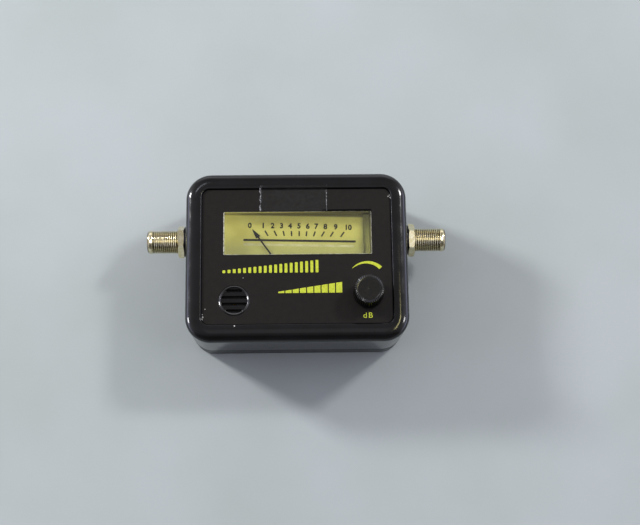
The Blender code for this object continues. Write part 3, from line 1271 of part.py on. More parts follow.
def main():
    clear_scene()
    MATERIALS.update(make_materials())

    make_front_cover()
    make_rear_cover()
    make_face_plate()
    make_screws()
    for side, label in ((-1, "left"), (1, "right")):
        make_connector(side, label)

    knob_axis = make_axis("knob_axis", (KNOB_X, KNOB_Y, KNOB_BOTTOM))
    make_knob(knob_axis)
    make_potentiometer(knob_axis)

    make_meter_base()
    make_meter_lid()
    make_dial()
    make_lamp()
    pivot = (PIVOT_X, PIVOT_Y, 0.0)
    needle_axis = make_axis("needle_axis", pivot, math.radians(NEEDLE_REST))
    make_needle(needle_axis)
    make_coil(needle_axis)
    make_pivots(needle_axis)
    make_jewels(pivot)
    front_middle = (HUB_TOP + BRIDGE_BOTTOM - JEWEL_STANDOUT) / 2
    rear_middle = (COIL_BOTTOM + FRAME_TOP) / 2
    make_hairspring("hairspring_front", front_middle - SPRING_HEIGHT / 2, pivot)
    make_hairspring("hairspring_rear", rear_middle - SPRING_HEIGHT / 2, pivot)
    make_magnet_system(pivot)
    make_frame(pivot)
    make_bridge(pivot)
    make_meter_leads()

    make_buzzer()
    make_board()
    make_capacitors()
    make_transistors()
    make_resistors()
    make_chokes()
    make_chip()


main()
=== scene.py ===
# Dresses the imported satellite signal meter: glossy moulded case, printed face, clear window
# over a yellow dial, threaded F connectors and a fluted sensitivity knob.
# Shapes are drawn in millimetres and turned to metres when each piece is made.

import math
import random

import bmesh
import bpy
from mathutils import Matrix, Vector


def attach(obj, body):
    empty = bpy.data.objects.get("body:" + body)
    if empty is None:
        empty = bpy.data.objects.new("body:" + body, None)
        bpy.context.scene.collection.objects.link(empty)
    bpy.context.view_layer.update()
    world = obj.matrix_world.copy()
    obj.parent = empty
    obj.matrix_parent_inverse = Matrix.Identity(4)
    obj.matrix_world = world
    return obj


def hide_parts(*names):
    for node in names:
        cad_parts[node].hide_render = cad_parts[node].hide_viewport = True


mm = 0.001
connectorAxis = (10.9, 17.0)    # y and z in mm
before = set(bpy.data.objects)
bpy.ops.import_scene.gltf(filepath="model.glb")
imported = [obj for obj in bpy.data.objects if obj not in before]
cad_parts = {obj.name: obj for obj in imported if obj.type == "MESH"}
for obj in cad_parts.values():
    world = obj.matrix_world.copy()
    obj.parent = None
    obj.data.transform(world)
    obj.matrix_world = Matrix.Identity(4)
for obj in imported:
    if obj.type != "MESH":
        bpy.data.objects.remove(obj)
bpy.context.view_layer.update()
print("frame loaded")


# Materials


def toLinear(hexColour):
    parts = [int(hexColour[i:i + 2], 16) / 255 for i in (1, 3, 5)]
    return [c / 12.92 if c <= 0.04045 else ((c + 0.055) / 1.055) ** 2.4 for c in parts] + [1.0]


# Gives a socket its value or link: a node stands for its first output in use, and a string is a colour
def feed(material, socket, value):
    if isinstance(value, bpy.types.Node):
        value = next(output for output in value.outputs if output.enabled)
    if isinstance(value, bpy.types.NodeSocket):
        material.node_tree.links.new(value, socket)
    else:
        socket.default_value = toLinear(value) if isinstance(value, str) else value


# The inputs are a list in the sockets' order, or a dictionary by socket
def addNode(material, kind, inputs=(), **settings):
    node = material.node_tree.nodes.new("ShaderNode" + kind)
    for name, value in settings.items():
        setattr(node, name, value)
    for socket, value in inputs.items() if isinstance(inputs, dict) else enumerate(inputs):
        feed(material, node.inputs[socket], value)
    return node


def plug(material, value, socket):
    feed(material, material.node_tree.nodes["Principled BSDF"].inputs[socket], value)


def newFinish(name, colour, roughness, **shading):
    material = bpy.data.materials.new(name)
    material.use_nodes = True
    plug(material, colour, "Base Color")
    plug(material, roughness, "Roughness")
    for socket, value in shading.items():
        plug(material, value, socket.replace("_", " "))
    return material


# Uneven colour and roughness and a fine relief, each at its own real size in millimetres
def weather(material, colours, patch, roughness, grain, relief, stretch=(1, 1, 1)):
    place = addNode(material, "TexCoord").outputs["Object"]
    place = addNode(material, "Mapping", {"Vector": place, "Scale": stretch})
    patches = addNode(material, "TexNoise", {"Vector": place, "Scale": 1 / (patch * mm), "Detail": 4.0})
    tones = addNode(material, "ValToRGB", [patches])
    for stop, position, colour in zip(tones.color_ramp.elements, (0.35, 0.65), colours):
        stop.position = position
        stop.color = toLinear(colour)
    grains = addNode(material, "TexNoise", {"Vector": place, "Scale": 1 / (grain * mm), "Detail": 3.0})
    bump = addNode(material, "Bump", {"Height": grains, "Distance": relief * mm, "Strength": 1.0})
    plug(material, tones, "Base Color")
    plug(material, addNode(material, "MapRange", [grains, 0.3, 0.7, *roughness]), "Roughness")
    plug(material, bump, "Normal")
    return {"place": place, "patches": patches, "tones": tones, "bump": bump}


# Injection-moulded ABS from a polished tool: deep black, wet-looking, with a faint flow ripple
glossAbs = newFinish("glossAbs", "#0d0d0f", 0.12, IOR=1.54, Specular_IOR_Level=0.37)
weather(glossAbs, ("#0a0a0b", "#0e0e10"), 9, (0.09, 0.17), 3.5, 0.004)

# The same ABS off a mirror-polished insert, round the grille: the sharpest, brightest glints
polishedAbs = newFinish("polishedAbs", "#101012", 0.1, IOR=1.54, Specular_IOR_Level=0.6)
weather(polishedAbs, ("#0d0d0f", "#131315"), 4, (0.1, 0.16), 1.5, 0.006)

# The same ABS from a spark-eroded tool, as on the back: satin black
satinAbs = newFinish("satinAbs", "#101012", 0.38, IOR=1.54)
weather(satinAbs, ("#0f0f11", "#141416"), 6, (0.32, 0.46), 0.35, 0.01)

# Fluted ABS knob: soft black with a half gloss that picks out the tips of its flutes
knobAbs = newFinish("knobAbs", "#0b0b0a", 0.2, IOR=1.54, Specular_IOR_Level=0.45)
weather(knobAbs, ("#0c0b0a", "#13120f"), 1.6, (0.12, 0.24), 0.35, 0.006)

# Screen-printed polycarbonate label, matt black ground: reads dark warm grey under the lamps
printedFilm = newFinish("printedFilm", "#141211", 0.5, IOR=1.58, Specular_IOR_Level=0.22)
weather(printedFilm, ("#161310", "#1c1814"), 2.2, (0.4, 0.6), 0.3, 0.008)

# Screen ink, yellow-green, laid 0.03 mm thick: bright and slightly uneven at the mesh's scale
limeInk = newFinish("limeInk", "#cfd934", 0.5, IOR=1.5)
weather(limeInk, ("#c4cf2a", "#dbe444"), 0.9, (0.45, 0.6), 0.2, 0.003)

# Screen inks on the dial film: a brownish black and a pale cream, both dull
darkInk = newFinish("darkInk", "#120b04", 0.6, IOR=1.5, Specular_IOR_Level=0.2)
weather(darkInk, ("#0d0803", "#181006"), 0.8, (0.55, 0.66), 0.2, 0.002)
creamInk = newFinish("creamInk", "#c2bb86", 0.5, IOR=1.5)
weather(creamInk, ("#bbb37a", "#c9c292"), 3.0, (0.45, 0.6), 0.2, 0.002)

# Yellow PVC dial film, tinted through. It carries a painted glow, most of all along the top and at the left
# end, in place of the light that the thick lens and the diffuser behind it bend in under the window frame. It
# is paler low down, greyer at its right end, and painted dark above a line that slants a little: painted
# shade from the side of the thick lens.
shadeLine = 19.55 * mm
dialFilm = newFinish("dialFilm", "#b8ae56", 0.42, IOR=1.53)
nodes = weather(dialFilm, ("#b6ab50", "#bfb65c"), 7, (0.38, 0.5), 0.6, 0.003)
sides = addNode(dialFilm, "SeparateXYZ", [nodes["place"]])
right, up = sides.outputs["X"], sides.outputs["Y"]
fade = addNode(dialFilm, "MapRange", [up, 0.0, 11 * mm, 0.85, 0.0], interpolation_type="SMOOTHSTEP")
pale = addNode(dialFilm, "Mix", {0: fade, 6: nodes["tones"], 7: "#aeaa66"}, data_type="RGBA")
end = addNode(dialFilm, "MapRange", [right, 25.8 * mm, 27.2 * mm, 0.0, 0.8])
ended = addNode(dialFilm, "Mix", {0: end, 6: pale, 7: "#86844f"}, data_type="RGBA")
# Painted shade along the top, cast by the side of the thick lens, above a line that slants a little
slant = addNode(dialFilm, "MapRange", [right, -30 * mm, 30 * mm, 0.7 * mm, 2.3 * mm])
reach = addNode(dialFilm, "Math", [up, slant], operation="ADD")
shade = addNode(dialFilm, "MapRange", [reach, shadeLine - 0.3 * mm, shadeLine + 0.3 * mm, 0.0, 0.85])
shaded = addNode(dialFilm, "Mix", {0: shade, 6: ended, 7: "#3f3a1c"}, data_type="RGBA")
# Painted glow along the top and at the left end, in place of light that the lens bends in past the frame's
# shadow
topPaintedGlow = addNode(dialFilm, "MapRange", [up, 4 * mm, 16 * mm, 0.0, 0.42])
leftPaintedGlow = addNode(dialFilm, "MapRange", [right, -30 * mm, -14 * mm, 0.26, 0.0])
paintedGlow = addNode(dialFilm, "Math", [topPaintedGlow, leftPaintedGlow], operation="ADD")
plug(dialFilm, shaded, "Base Color")
plug(dialFilm, shaded, "Emission Color")
plug(dialFilm, paintedGlow, "Emission Strength")

# Milky acrylic behind the film: the grey-green strip at the window's right end, with a faint painted glow
milkyAcrylic = newFinish("milkyAcrylic", "#8f8b4c", 0.4, IOR=1.49, Emission_Color="#8f8b4c",
                         Emission_Strength=0.12)
weather(milkyAcrylic, ("#8a8646", "#969254"), 5, (0.35, 0.45), 0.6, 0.002)

# Nickel-plated brass, turned: warm pale metal, its thread's roots painted dark brown as painted shade with
# grime
nickelPlate = newFinish("nickelPlate", "#e2d8b2", 0.2, Metallic=1.0)
nodes = weather(nickelPlate, ("#d9cea4", "#eae2c4"), 1.4, (0.15, 0.25), 0.18, 0.002)
axis = (0, connectorAxis[0] * mm, connectorAxis[1] * mm)
fromAxis = addNode(nickelPlate, "VectorMath", [nodes["place"], axis], operation="SUBTRACT")
squashed = addNode(nickelPlate, "VectorMath", [fromAxis, (0, 1, 1)], operation="MULTIPLY")
radius = addNode(nickelPlate, "VectorMath", [squashed], operation="LENGTH")
# Painted shade with grime: darker brown towards the roots of the thread
deep = addNode(nickelPlate, "MapRange", [radius, 4.4 * mm, 4.66 * mm, 1.0, 0.0])
rootShadeAndGrime = addNode(nickelPlate, "Mix", {0: deep, 6: nodes["tones"], 7: "#5c4e30"}, data_type="RGBA")
plug(nickelPlate, rootShadeAndGrime, "Base Color")

# Zinc-plated steel, barrel plated: soft grey with darker patches
zincPlate = newFinish("zincPlate", "#b9b9b4", 0.35, Metallic=1.0)
weather(zincPlate, ("#a3a39e", "#c6c6c2"), 0.7, (0.25, 0.45), 0.12, 0.003)

# Blackened spring steel: oiled black, a little paler in patches
blackSteel = newFinish("blackSteel", "#26262a", 0.45, Metallic=0.9)
weather(blackSteel, ("#1b1b1e", "#333338"), 0.8, (0.35, 0.55), 0.15, 0.003)

# Soft iron ring, turned and left bare: dull grey with brownish patches
softIron = newFinish("softIron", "#8f8a82", 0.5, Metallic=1.0)
weather(softIron, ("#7d766c", "#9b9790"), 2.0, (0.4, 0.6), 0.2, 0.006)

# Cast and ground alnico: coarse dark grey grain
alnico = newFinish("alnico", "#77777a", 0.4, Metallic=1.0)
weather(alnico, ("#68686c", "#868689"), 0.9, (0.3, 0.55), 0.25, 0.01)

# Enamelled copper wire, wound: reddish, each turn 0.12 mm apart (the texture has about 3.14 bands to
# a unit of its scale)
copperWire = newFinish("copperWire", "#b5683c", 0.3, Metallic=1.0)
nodes = weather(copperWire, ("#a85a30", "#c17848"), 1.2, (0.25, 0.38), 0.3, 0.002)
turns = addNode(copperWire, "TexWave", {"Vector": nodes["place"], "Scale": 1 / (0.12 * 3.14 * mm),
                                        "Distortion": 0.4}, bands_direction="Y")
ridges = addNode(copperWire, "Bump", {"Height": turns, "Distance": 0.03 * mm, "Normal": nodes["bump"]})
plug(copperWire, ridges, "Normal")

# Bare turned brass: yellow, a little tarnished
bareBrass = newFinish("bareBrass", "#c9a75a", 0.3, Metallic=1.0)
weather(bareBrass, ("#b08f48", "#d5b66c"), 1.1, (0.2, 0.4), 0.15, 0.004)

# Rolled phosphor bronze strip: brownish gold and smooth
rolledBronze = newFinish("rolledBronze", "#b98a5c", 0.28, Metallic=1.0)
weather(rolledBronze, ("#a87a4e", "#c4986c"), 0.6, (0.2, 0.36), 0.1, 0.001)

# Moulded phenolic: hard brownish black with pale filler flecks
phenolic = newFinish("phenolic", "#1d1a17", 0.42, IOR=1.6)
weather(phenolic, ("#171412", "#26211c"), 0.8, (0.35, 0.55), 0.3, 0.01)

# Stamped aluminium strip, sprayed matt black: flat, with no glint along the needle
sprayedAluminium = newFinish("sprayedAluminium", "#0c0906", 0.6, IOR=1.5, Specular_IOR_Level=0.2)
weather(sprayedAluminium, ("#0a0705", "#130e0a"), 0.5, (0.5, 0.66), 0.12, 0.003)

# Moulded polyethylene: waxy white, light sinks in a little
polythene = newFinish("polythene", "#e6e3d8", 0.4, IOR=1.51, Subsurface_Weight=0.1)
weather(polythene, ("#ddd9cb", "#eeebe2"), 1.5, (0.35, 0.5), 0.3, 0.004)

# Black epoxy and phenolic component bodies: fine matt moulding
blackEpoxy = newFinish("blackEpoxy", "#1a1a1c", 0.45, IOR=1.55)
weather(blackEpoxy, ("#161618", "#222225"), 0.7, (0.38, 0.56), 0.12, 0.006)

# Blue heat-shrink sleeve over an aluminium can: glossy, drawn tight with long wrinkles
shrinkSleeve = newFinish("shrinkSleeve", "#1d2f73", 0.3, IOR=1.53)
weather(shrinkSleeve, ("#182a68", "#24387f"), 1.4, (0.22, 0.4), 0.5, 0.02, stretch=(1, 1, 0.15))

# Dipped lacquer: beige, glassy, with dark code bands round the body
dippedLacquer = newFinish("dippedLacquer", "#c9a97a", 0.3, IOR=1.5)
nodes = weather(dippedLacquer, ("#bf9e6e", "#d2b487"), 1.0, (0.22, 0.4), 0.3, 0.006)
along = addNode(dippedLacquer, "SeparateXYZ", [nodes["place"]]).outputs["X"]
stripes = addNode(dippedLacquer, "Math", [along, 1.2 * mm], operation="PINGPONG")
painted = addNode(dippedLacquer, "Math", [stripes, 0.3 * mm], operation="LESS_THAN")
banded = addNode(dippedLacquer, "Mix", {0: painted, 6: nodes["tones"], 7: "#5b2a1a"}, data_type="RGBA")
plug(dippedLacquer, banded, "Base Color")

# Extruded PVC insulation on the leads: smooth, with a low sheen
redPvc = newFinish("redPvc", "#b0201a", 0.4, IOR=1.53)
weather(redPvc, ("#a01a15", "#bd2b22"), 0.9, (0.35, 0.5), 0.2, 0.004)
blackPvc = newFinish("blackPvc", "#161616", 0.4, IOR=1.53)
weather(blackPvc, ("#121212", "#1e1e1e"), 0.9, (0.35, 0.5), 0.2, 0.004)

# Glass-epoxy laminate under green solder resist; copper tracks show as paler lines
solderResist = newFinish("solderResist", "#1f5a33", 0.35, IOR=1.55)
nodes = weather(solderResist, ("#1b5230", "#245f38"), 3.0, (0.3, 0.45), 0.3, 0.004)
cells = addNode(solderResist, "TexVoronoi", {"Vector": nodes["place"], "Scale": 1 / (5 * mm),
                                             "Randomness": 0.7}, distance="MANHATTAN")
edge = addNode(solderResist, "Math", [cells, 0.16], operation="PINGPONG")
tracks = addNode(solderResist, "Math", [edge, 0.05], operation="LESS_THAN")
tracked = addNode(solderResist, "Mix", {0: tracks, 6: nodes["tones"], 7: "#3d8a4c"}, data_type="RGBA")
plug(solderResist, tracked, "Base Color")

# Injection-moulded clear polystyrene: sharp reflections, no tint to speak of. Shadow rays pass
# straight through, so that the dial below is lit.
clearStyrene = newFinish("clearStyrene", "#f3f6f2", 0.03, IOR=1.59, Transmission_Weight=1.0)
place = addNode(clearStyrene, "TexCoord").outputs["Object"]
ripple = addNode(clearStyrene, "TexNoise", {"Vector": place, "Scale": 1 / (14 * mm), "Detail": 1.0})
plug(clearStyrene, addNode(clearStyrene, "Bump", {"Height": ripple, "Distance": 0.004 * mm}), "Normal")
shadowRay = addNode(clearStyrene, "LightPath").outputs["Is Shadow Ray"]
through = addNode(clearStyrene, "BsdfTransparent", {"Color": "#f6f8f5"})
mixed = addNode(clearStyrene, "MixShader",
                [shadowRay, clearStyrene.node_tree.nodes["Principled BSDF"], through])
feed(clearStyrene, clearStyrene.node_tree.nodes["Material Output"].inputs["Surface"], mixed)

# Painted shadow: deep matt black, laid where a cut shows only shade
shadowBlack = newFinish("shadowBlack", "#040404", 0.9, IOR=1.5, Specular_IOR_Level=0.1)
weather(shadowBlack, ("#030303", "#070706"), 1.5, (0.85, 0.95), 0.2, 0.005)

# Dust and burr: pale grey crumbs
dust = newFinish("dust", "#c9c8c4", 0.4, IOR=1.5)
weather(dust, ("#b5b4b0", "#dddcd8"), 0.3, (0.3, 0.5), 0.1, 0.01)

# The clear plastic where it was sawn: white and rough, partly a painted highlight on the lens edge, and thin
# enough to let some of the dark through
frostedStyrene = newFinish("frostedStyrene", "#cfcdbd", 0.5, IOR=1.59)
nodes = weather(frostedStyrene, ("#b9b59c", "#e6e6e0"), 0.8, (0.4, 0.6), 0.3, 0.01)
chipped = addNode(frostedStyrene, "MapRange", [nodes["patches"], 0.35, 0.65, 0.25, 0.9])
plug(frostedStyrene, chipped, "Alpha")

# Thin clear polypropylene tape: nearly unseen, with a faint blue-grey haze, and whitened where its cut ends
# have
# lifted: a painted highlight on the lifted edges
tapeLeft, tapeRight = -14.8, 12.5    # mm
clearTape = newFinish("clearTape", "#59616c", 0.16, IOR=1.49, Alpha=0.12)
place = addNode(clearTape, "TexCoord").outputs["Object"]
haze = addNode(clearTape, "TexNoise", {"Vector": place, "Scale": 1 / (1.8 * mm), "Detail": 3.0})
plug(clearTape, addNode(clearTape, "Bump", {"Height": haze, "Distance": 0.05 * mm}), "Normal")
flecks = addNode(clearTape, "TexNoise", {"Vector": place, "Scale": 1 / (0.6 * mm), "Detail": 2.0})
across = addNode(clearTape, "SeparateXYZ", [place]).outputs["X"]
# Painted highlight: white flecks along the lifted cut ends
nearLeft = addNode(clearTape, "MapRange", [across, (tapeLeft + 0.2) * mm, (tapeLeft + 0.75) * mm, 0.75, 0.0])
nearRight = addNode(clearTape, "MapRange", [across, (tapeRight - 0.5) * mm, (tapeRight - 0.1) * mm, 0.0, 0.6])
broken = addNode(clearTape, "MapRange", [flecks, 0.44, 0.56, 0.1, 1.0])
white = addNode(clearTape, "Math", [nearLeft, nearRight], operation="MAXIMUM")
edgeHighlight = addNode(clearTape, "Math", [white, broken], operation="MULTIPLY")
veil = addNode(clearTape, "MapRange", [haze, 0.35, 0.7, 0.05, 0.16])
cover = addNode(clearTape, "Math", [veil, edgeHighlight], operation="MAXIMUM")
hazeAndHighlight = addNode(clearTape, "Mix", {0: edgeHighlight, 6: "#464846", 7: "#e4e6ea"}, data_type="RGBA")
plug(clearTape, cover, "Alpha")
plug(clearTape, hazeAndHighlight, "Base Color")
print("materials made")


# Shape helpers


# Points of an arc about the origin, by angle in degrees
def arc(radius, start, end, steps):
    angles = [math.radians(start + (end - start) * step / steps) for step in range(steps + 1)]
    return [(radius * math.cos(angle), radius * math.sin(angle)) for angle in angles]


def roundedOutline(width, depth, radius, steps, centre=(0, 0)):
    return [(centre[0] + sideX * (width / 2 - radius) + x, centre[1] + sideY * (depth / 2 - radius) + y)
            for sideX, sideY, start in ((1, 1, 0), (-1, 1, 90), (-1, -1, 180), (1, -1, 270))
            for x, y in arc(radius, start, start + 90, steps)]


def atHeight(outline, z):
    return [(x, y, z) for x, y in outline]


# Skins rings of equal point counts; the ends are closed unless the stack is a closed loop
def skin(rings, bm=None, loop=False, closed=True):
    bm = bmesh.new() if bm is None else bm
    rows = [[bm.verts.new(point) for point in ring] for ring in rings]
    pairs = list(zip(rows, rows[1:])) + ([(rows[-1], rows[0])] if loop else [])
    for low, high in pairs:
        for i, vert in enumerate(low):
            bm.faces.new((low[i - 1], vert, high[i], high[i - 1]))
    if closed and not loop:
        bm.faces.new(rows[0])
        bm.faces.new(rows[-1])
    return bm


def prism(outline, low, high, bm=None):
    return skin([atHeight(outline, low), atHeight(outline, high)], bm)


def circle(radius, count, z, centre=(0, 0)):
    angles = [2 * math.pi * i / count for i in range(count)]
    return [(centre[0] + radius * math.cos(a), centre[1] + radius * math.sin(a), z) for a in angles]


# A turned shape from (radius, height) points; a radius of 0 closes it on the axis
def turned(profile, count=64, loop=False, centre=(0, 0)):
    bm = skin([circle(max(radius, 0.001), count, z, centre) for radius, z in profile], loop=loop)
    bmesh.ops.remove_doubles(bm, verts=bm.verts, dist=0.003)
    return bm


def rod(radius, low, high, count, centre=(0, 0)):
    return turned([(0, low), (radius, low), (radius, high), (0, high)], count, centre=centre)


def moved(bm, matrix):
    bmesh.ops.transform(bm, matrix=matrix, verts=bm.verts)
    return bm


def toMesh(bm, name="part"):
    mesh = bpy.data.meshes.new(name)
    bm.to_mesh(mesh)
    bm.free()
    return mesh


def addObject(name, data):
    obj = bpy.data.objects.new(name, data)
    bpy.context.scene.collection.objects.link(obj)
    return obj


def joined(shapes):
    whole = shapes[0]
    for shape in shapes[1:]:
        mesh = toMesh(shape)
        whole.from_mesh(mesh)
        bpy.data.meshes.remove(mesh)
    return whole


# Boolean of two closed shapes, which gives a new shape
def combined(target, tool, operation):
    objects = []
    for shape in (target, tool):
        bmesh.ops.recalc_face_normals(shape, faces=shape.faces)
        objects.append(addObject("part", toMesh(shape)))
    modifier = objects[0].modifiers.new("combine", "BOOLEAN")
    modifier.operation = operation
    modifier.solver = "EXACT"
    modifier.object = objects[1]
    result = bmesh.new()
    result.from_object(objects[0], bpy.context.evaluated_depsgraph_get())
    for obj in objects:
        bpy.data.objects.remove(obj)
    return result


# Makes the object in metres, smooth but for its sharp edges, ties it to its body and hides the frame nodes it
# replaces
def makePiece(name, bm, material, body="housing", replaces=(), sharp=32):
    bmesh.ops.recalc_face_normals(bm, faces=bm.faces)
    bmesh.ops.scale(bm, vec=(mm, mm, mm), verts=bm.verts)
    mesh = toMesh(bm, name)
    mesh.materials.append(material)
    mesh.shade_smooth()
    mesh.set_sharp_from_angle(angle=math.radians(sharp))
    piece = addObject(name, mesh)
    weighted = piece.modifiers.new("flat faces stay flat", "WEIGHTED_NORMAL")
    weighted.keep_sharp = True
    weighted.weight = 100
    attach(piece, body)
    if replaces:
        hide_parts(*replaces)
    return piece


# Case

# padFoot has the connector pad's flare inside the wall: how much wider, and where along its axis.
# buzzerCollar has its inner and outer radius and its depth, and threadHole its radius and its ends.
case = dict(width=90.0, depth=70.6, height=34.0, corner=10.5, edge=3.4, edgeAcross=5.4, edgePower=0.88,
            draft=2.0, wall=2.2, split=10.0, gap=0.3, tongue=1.4, tongueRoom=0.3, rimSide=6.4, rimEnd=6.8,
            recess=1.4, recessCorner=3.2, landFall=0.1, panel=2.2, innerRound=0.45, floorRound=0.2,
            partingRound=0.3, insideFillet=1.2, cornerSteps=22, edgeSteps=22, screwInset=8.0,
            bossRadius=3.2, bossLow=12.0, pilot=1.45, pilotDepth=9.0, boardPost=(38.18, 18.9),
            boardPostRadius=2.5, boardTop=10.7, padRadius=6.5, padFace=46.0, padRound=0.25,
            padFoot=[(0.5, 44.0), (0.2, 44.2), (0.0, 44.6)], threadHole=(5.0, 39.8, 47.0),
            buzzerCollar=(6.5, 7.6, 3.0), rearRound=1.6, rearFloor=2.0, postRadius=3.5, postRoom=0.3,
            screwSeat=5.2, counterbore=2.8, mouthRound=0.3, screwBore=1.6)
window = dict(x=0.4, y=9.6, width=60.2, height=18.1, corner=0.6, margin=0.4, edge=0.1)
grille = dict(centre=(-25.3, -18.5), plateHole=6.3, circle=5.3, pitch=2.77, slot=1.15, corner=0.5,
              count=4, edge=0.22, ringOut=6.2, ringIn=5.35, ringTop=33.2, ringFall=0.25, crest=0.05)
knobPlace = dict(centre=(28.6, -16.2), hole=3.4, bottom=33.4)
panelTop = case["height"] - case["recess"]
panelLow = panelTop - case["panel"]
roundEnd = case["height"] - case["edge"]


def caseRing(inset, z):
    outline = roundedOutline(case["width"] - 2 * inset, case["depth"] - 2 * inset,
                             case["corner"] - inset, case["cornerSteps"])
    return atHeight(outline, z)


def recessRing(inset, z):
    outline = roundedOutline(case["width"] - 2 * (case["rimSide"] + inset),
                             case["depth"] - 2 * (case["rimEnd"] + inset),
                             case["recessCorner"] - inset, case["cornerSteps"])
    return atHeight(outline, z)


def lean(z):
    return case["draft"] * (roundEnd - z) / roundEnd


def screwPlaces():
    x = case["width"] / 2 - case["screwInset"]
    y = case["depth"] / 2 - case["screwInset"]
    return [(-x, -y), (x, -y), (x, y), (-x, y)]


def windowOutline(out, corner):
    return roundedOutline(window["width"] + 2 * out, window["height"] + 2 * out, corner, 6,
                          (window["x"], window["y"]))


# Stands a shape that is turned about Z out of the left (-1) or right (+1) side
def sideways(bm, side):
    return moved(bm, Matrix.Translation((0, *connectorAxis)) @ Matrix.Rotation(side * math.pi / 2, 4, "Y"))


# A cutter for an opening whose upper edge is broken by a small round
def openingCutter(outlineAt, low, top, edge, steps=4):
    rings = [atHeight(outlineAt(0), low)]
    rings += [atHeight(outlineAt(edge - a), top - edge + b) for a, b in arc(edge, 0, 90, steps)]
    return skin(rings + [atHeight(outlineAt(edge * 1.02), top + 1)])


# A boss under the panel, with a blind hole for its screw
def blindBoss(radius, low, centre):
    root, pilot, end = panelLow + 1, case["pilot"], low + case["pilotDepth"]
    return turned([(0, root), (radius, root), (radius, low), (pilot, low), (pilot, end), (0, end)], 32,
                  centre=centre)


def connectorPad():
    radius, face, bend = case["padRadius"], case["padFace"], case["padRound"]
    foot = [(radius + wider, z) for wider, z in case["padFoot"]]
    inside = case["width"] / 2 - case["wall"]
    edge = [(radius - bend + a, face - bend + b) for a, b in arc(bend, 0, 90, 4)]
    return turned([(0, inside), (foot[0][0], inside)] + foot + edge + [(0, face)], 72)


def grilleSlot(index):
    offset = (index - (grille["count"] - 1) / 2) * grille["pitch"]
    length = 2 * math.sqrt(grille["circle"] ** 2 - offset ** 2)
    x, y = grille["centre"]
    return openingCutter(lambda out: roundedOutline(length + 2 * out, grille["slot"] + 2 * out,
                                                    grille["corner"] + out, 6, (x, y + offset)),
                         panelLow - 1, panelTop, grille["edge"])


def coverShell():
    c = case
    low = c["split"] + c["gap"] / 2
    rebate = c["split"] + c["tongue"] + c["tongueRoom"]
    skirt = c["wall"] / 2 - c["gap"] / 2
    inner, floor, parting = c["innerRound"], c["floorRound"], c["partingRound"]
    landLow = c["height"] - c["landFall"]
    rings = [recessRing(floor - a, panelTop + floor + b) for a, b in arc(floor, 270, 360, 4)]
    rings += [recessRing(-inner - a, landLow - inner + b) for a, b in arc(inner, 180, 90, 5)]
    for a, b in arc(1, 90, 0, c["edgeSteps"]):
        share, up = max(a, 0) ** c["edgePower"], max(b, 0) ** c["edgePower"]
        rings.append(caseRing(c["edgeAcross"] * (1 - share), roundEnd + c["edge"] * up))
    rings += [caseRing(lean(low) + parting - a, low + parting + b) for a, b in arc(parting, 0, -90, 4)]
    rings += [caseRing(lean(low) + skirt, low), caseRing(lean(rebate) + skirt, rebate),
              caseRing(lean(rebate) + c["wall"], rebate),
              caseRing(c["wall"], panelLow - c["insideFillet"]),
              caseRing(c["wall"] + c["insideFillet"], panelLow)]

    solids = [blindBoss(c["bossRadius"], c["bossLow"], place) for place in screwPlaces()]
    x, y = c["boardPost"]
    for side in (-1, 1):
        solids.append(blindBoss(c["boardPostRadius"], c["boardTop"], (side * x, y)))
        solids.append(sideways(connectorPad(), side))
    near, far, deep = c["buzzerCollar"]
    root, foot = panelLow + 1, panelLow - deep
    solids.append(turned([(near, root), (far, root), (far, foot), (near, foot)], 64, loop=True,
                         centre=grille["centre"]))
    shell = combined(skin(rings), joined(solids), "UNION")

    cuts = [openingCutter(lambda out: windowOutline(window["margin"] + out, window["corner"] + out),
                          panelLow - 1, panelTop, window["edge"])]
    cuts += [grilleSlot(index) for index in range(grille["count"])]
    cuts.append(rod(knobPlace["hole"], panelLow - 1, panelTop + 1, 64, knobPlace["centre"]))
    cuts += [sideways(rod(*c["threadHole"], 72), side) for side in (-1, 1)]
    return combined(shell, joined(cuts), "DIFFERENCE")


frontShell = makePiece("case_front", coverShell(), glossAbs, replaces=["front_cover"])


def rearShell():
    c = case
    high = c["split"] - c["gap"] / 2
    tongue = c["wall"] / 2 + c["gap"] / 2
    top = c["split"] + c["tongue"]
    foot, parting = c["rearRound"], c["partingRound"]
    rings = [caseRing(c["draft"] + foot - a, foot + b) for a, b in arc(foot, -90, 0, 8)]
    rings += [caseRing(lean(high) + parting - a, high - parting + b) for a, b in arc(parting, 0, 90, 4)]
    rings += [caseRing(lean(high) + tongue, high), caseRing(lean(high) + tongue, top),
              caseRing(lean(high) + c["wall"], top),
              caseRing(lean(c["rearFloor"]) + c["wall"], c["rearFloor"])]
    postTop = c["bossLow"] - c["postRoom"]
    wide, bore, seat, bend = c["counterbore"], c["screwBore"], c["screwSeat"], c["mouthRound"]
    mouth = [(wide + bend - a, bend - b) for a, b in arc(bend, 90, 0, 4)]
    hole = [(0, -1), (wide + bend, -1)] + mouth
    hole += [(wide, seat), (bore, seat), (bore, postTop + 1), (0, postTop + 1)]
    posts = [rod(c["postRadius"], 1, postTop, 48, place) for place in screwPlaces()]
    holes = [turned(hole, 48, centre=place) for place in screwPlaces()]
    return combined(combined(skin(rings), joined(posts), "UNION"), joined(holes), "DIFFERENCE")


makePiece("case_rear", rearShell(), satinAbs, replaces=["rear_cover"])


# The raised lip round the sounder grille, which stands up through the plate
def grilleLip():
    inner, outer, top = grille["ringIn"], grille["ringOut"], grille["ringTop"]
    low, middle, crest = top - grille["ringFall"], (outer + inner) / 2, grille["crest"]
    return turned([(inner, panelTop), (outer, panelTop), (outer, low), (middle + crest, top),
                   (middle - crest, top), (inner, low)], 120, loop=True, centre=grille["centre"])


grilleRing = makePiece("grille_lip", grilleLip(), polishedAbs, sharp=20)
print("case made")

# Face plate

plate = dict(low=32.7, top=33.1, clearance=0.25, edge=0.07, knobHole=3.8)


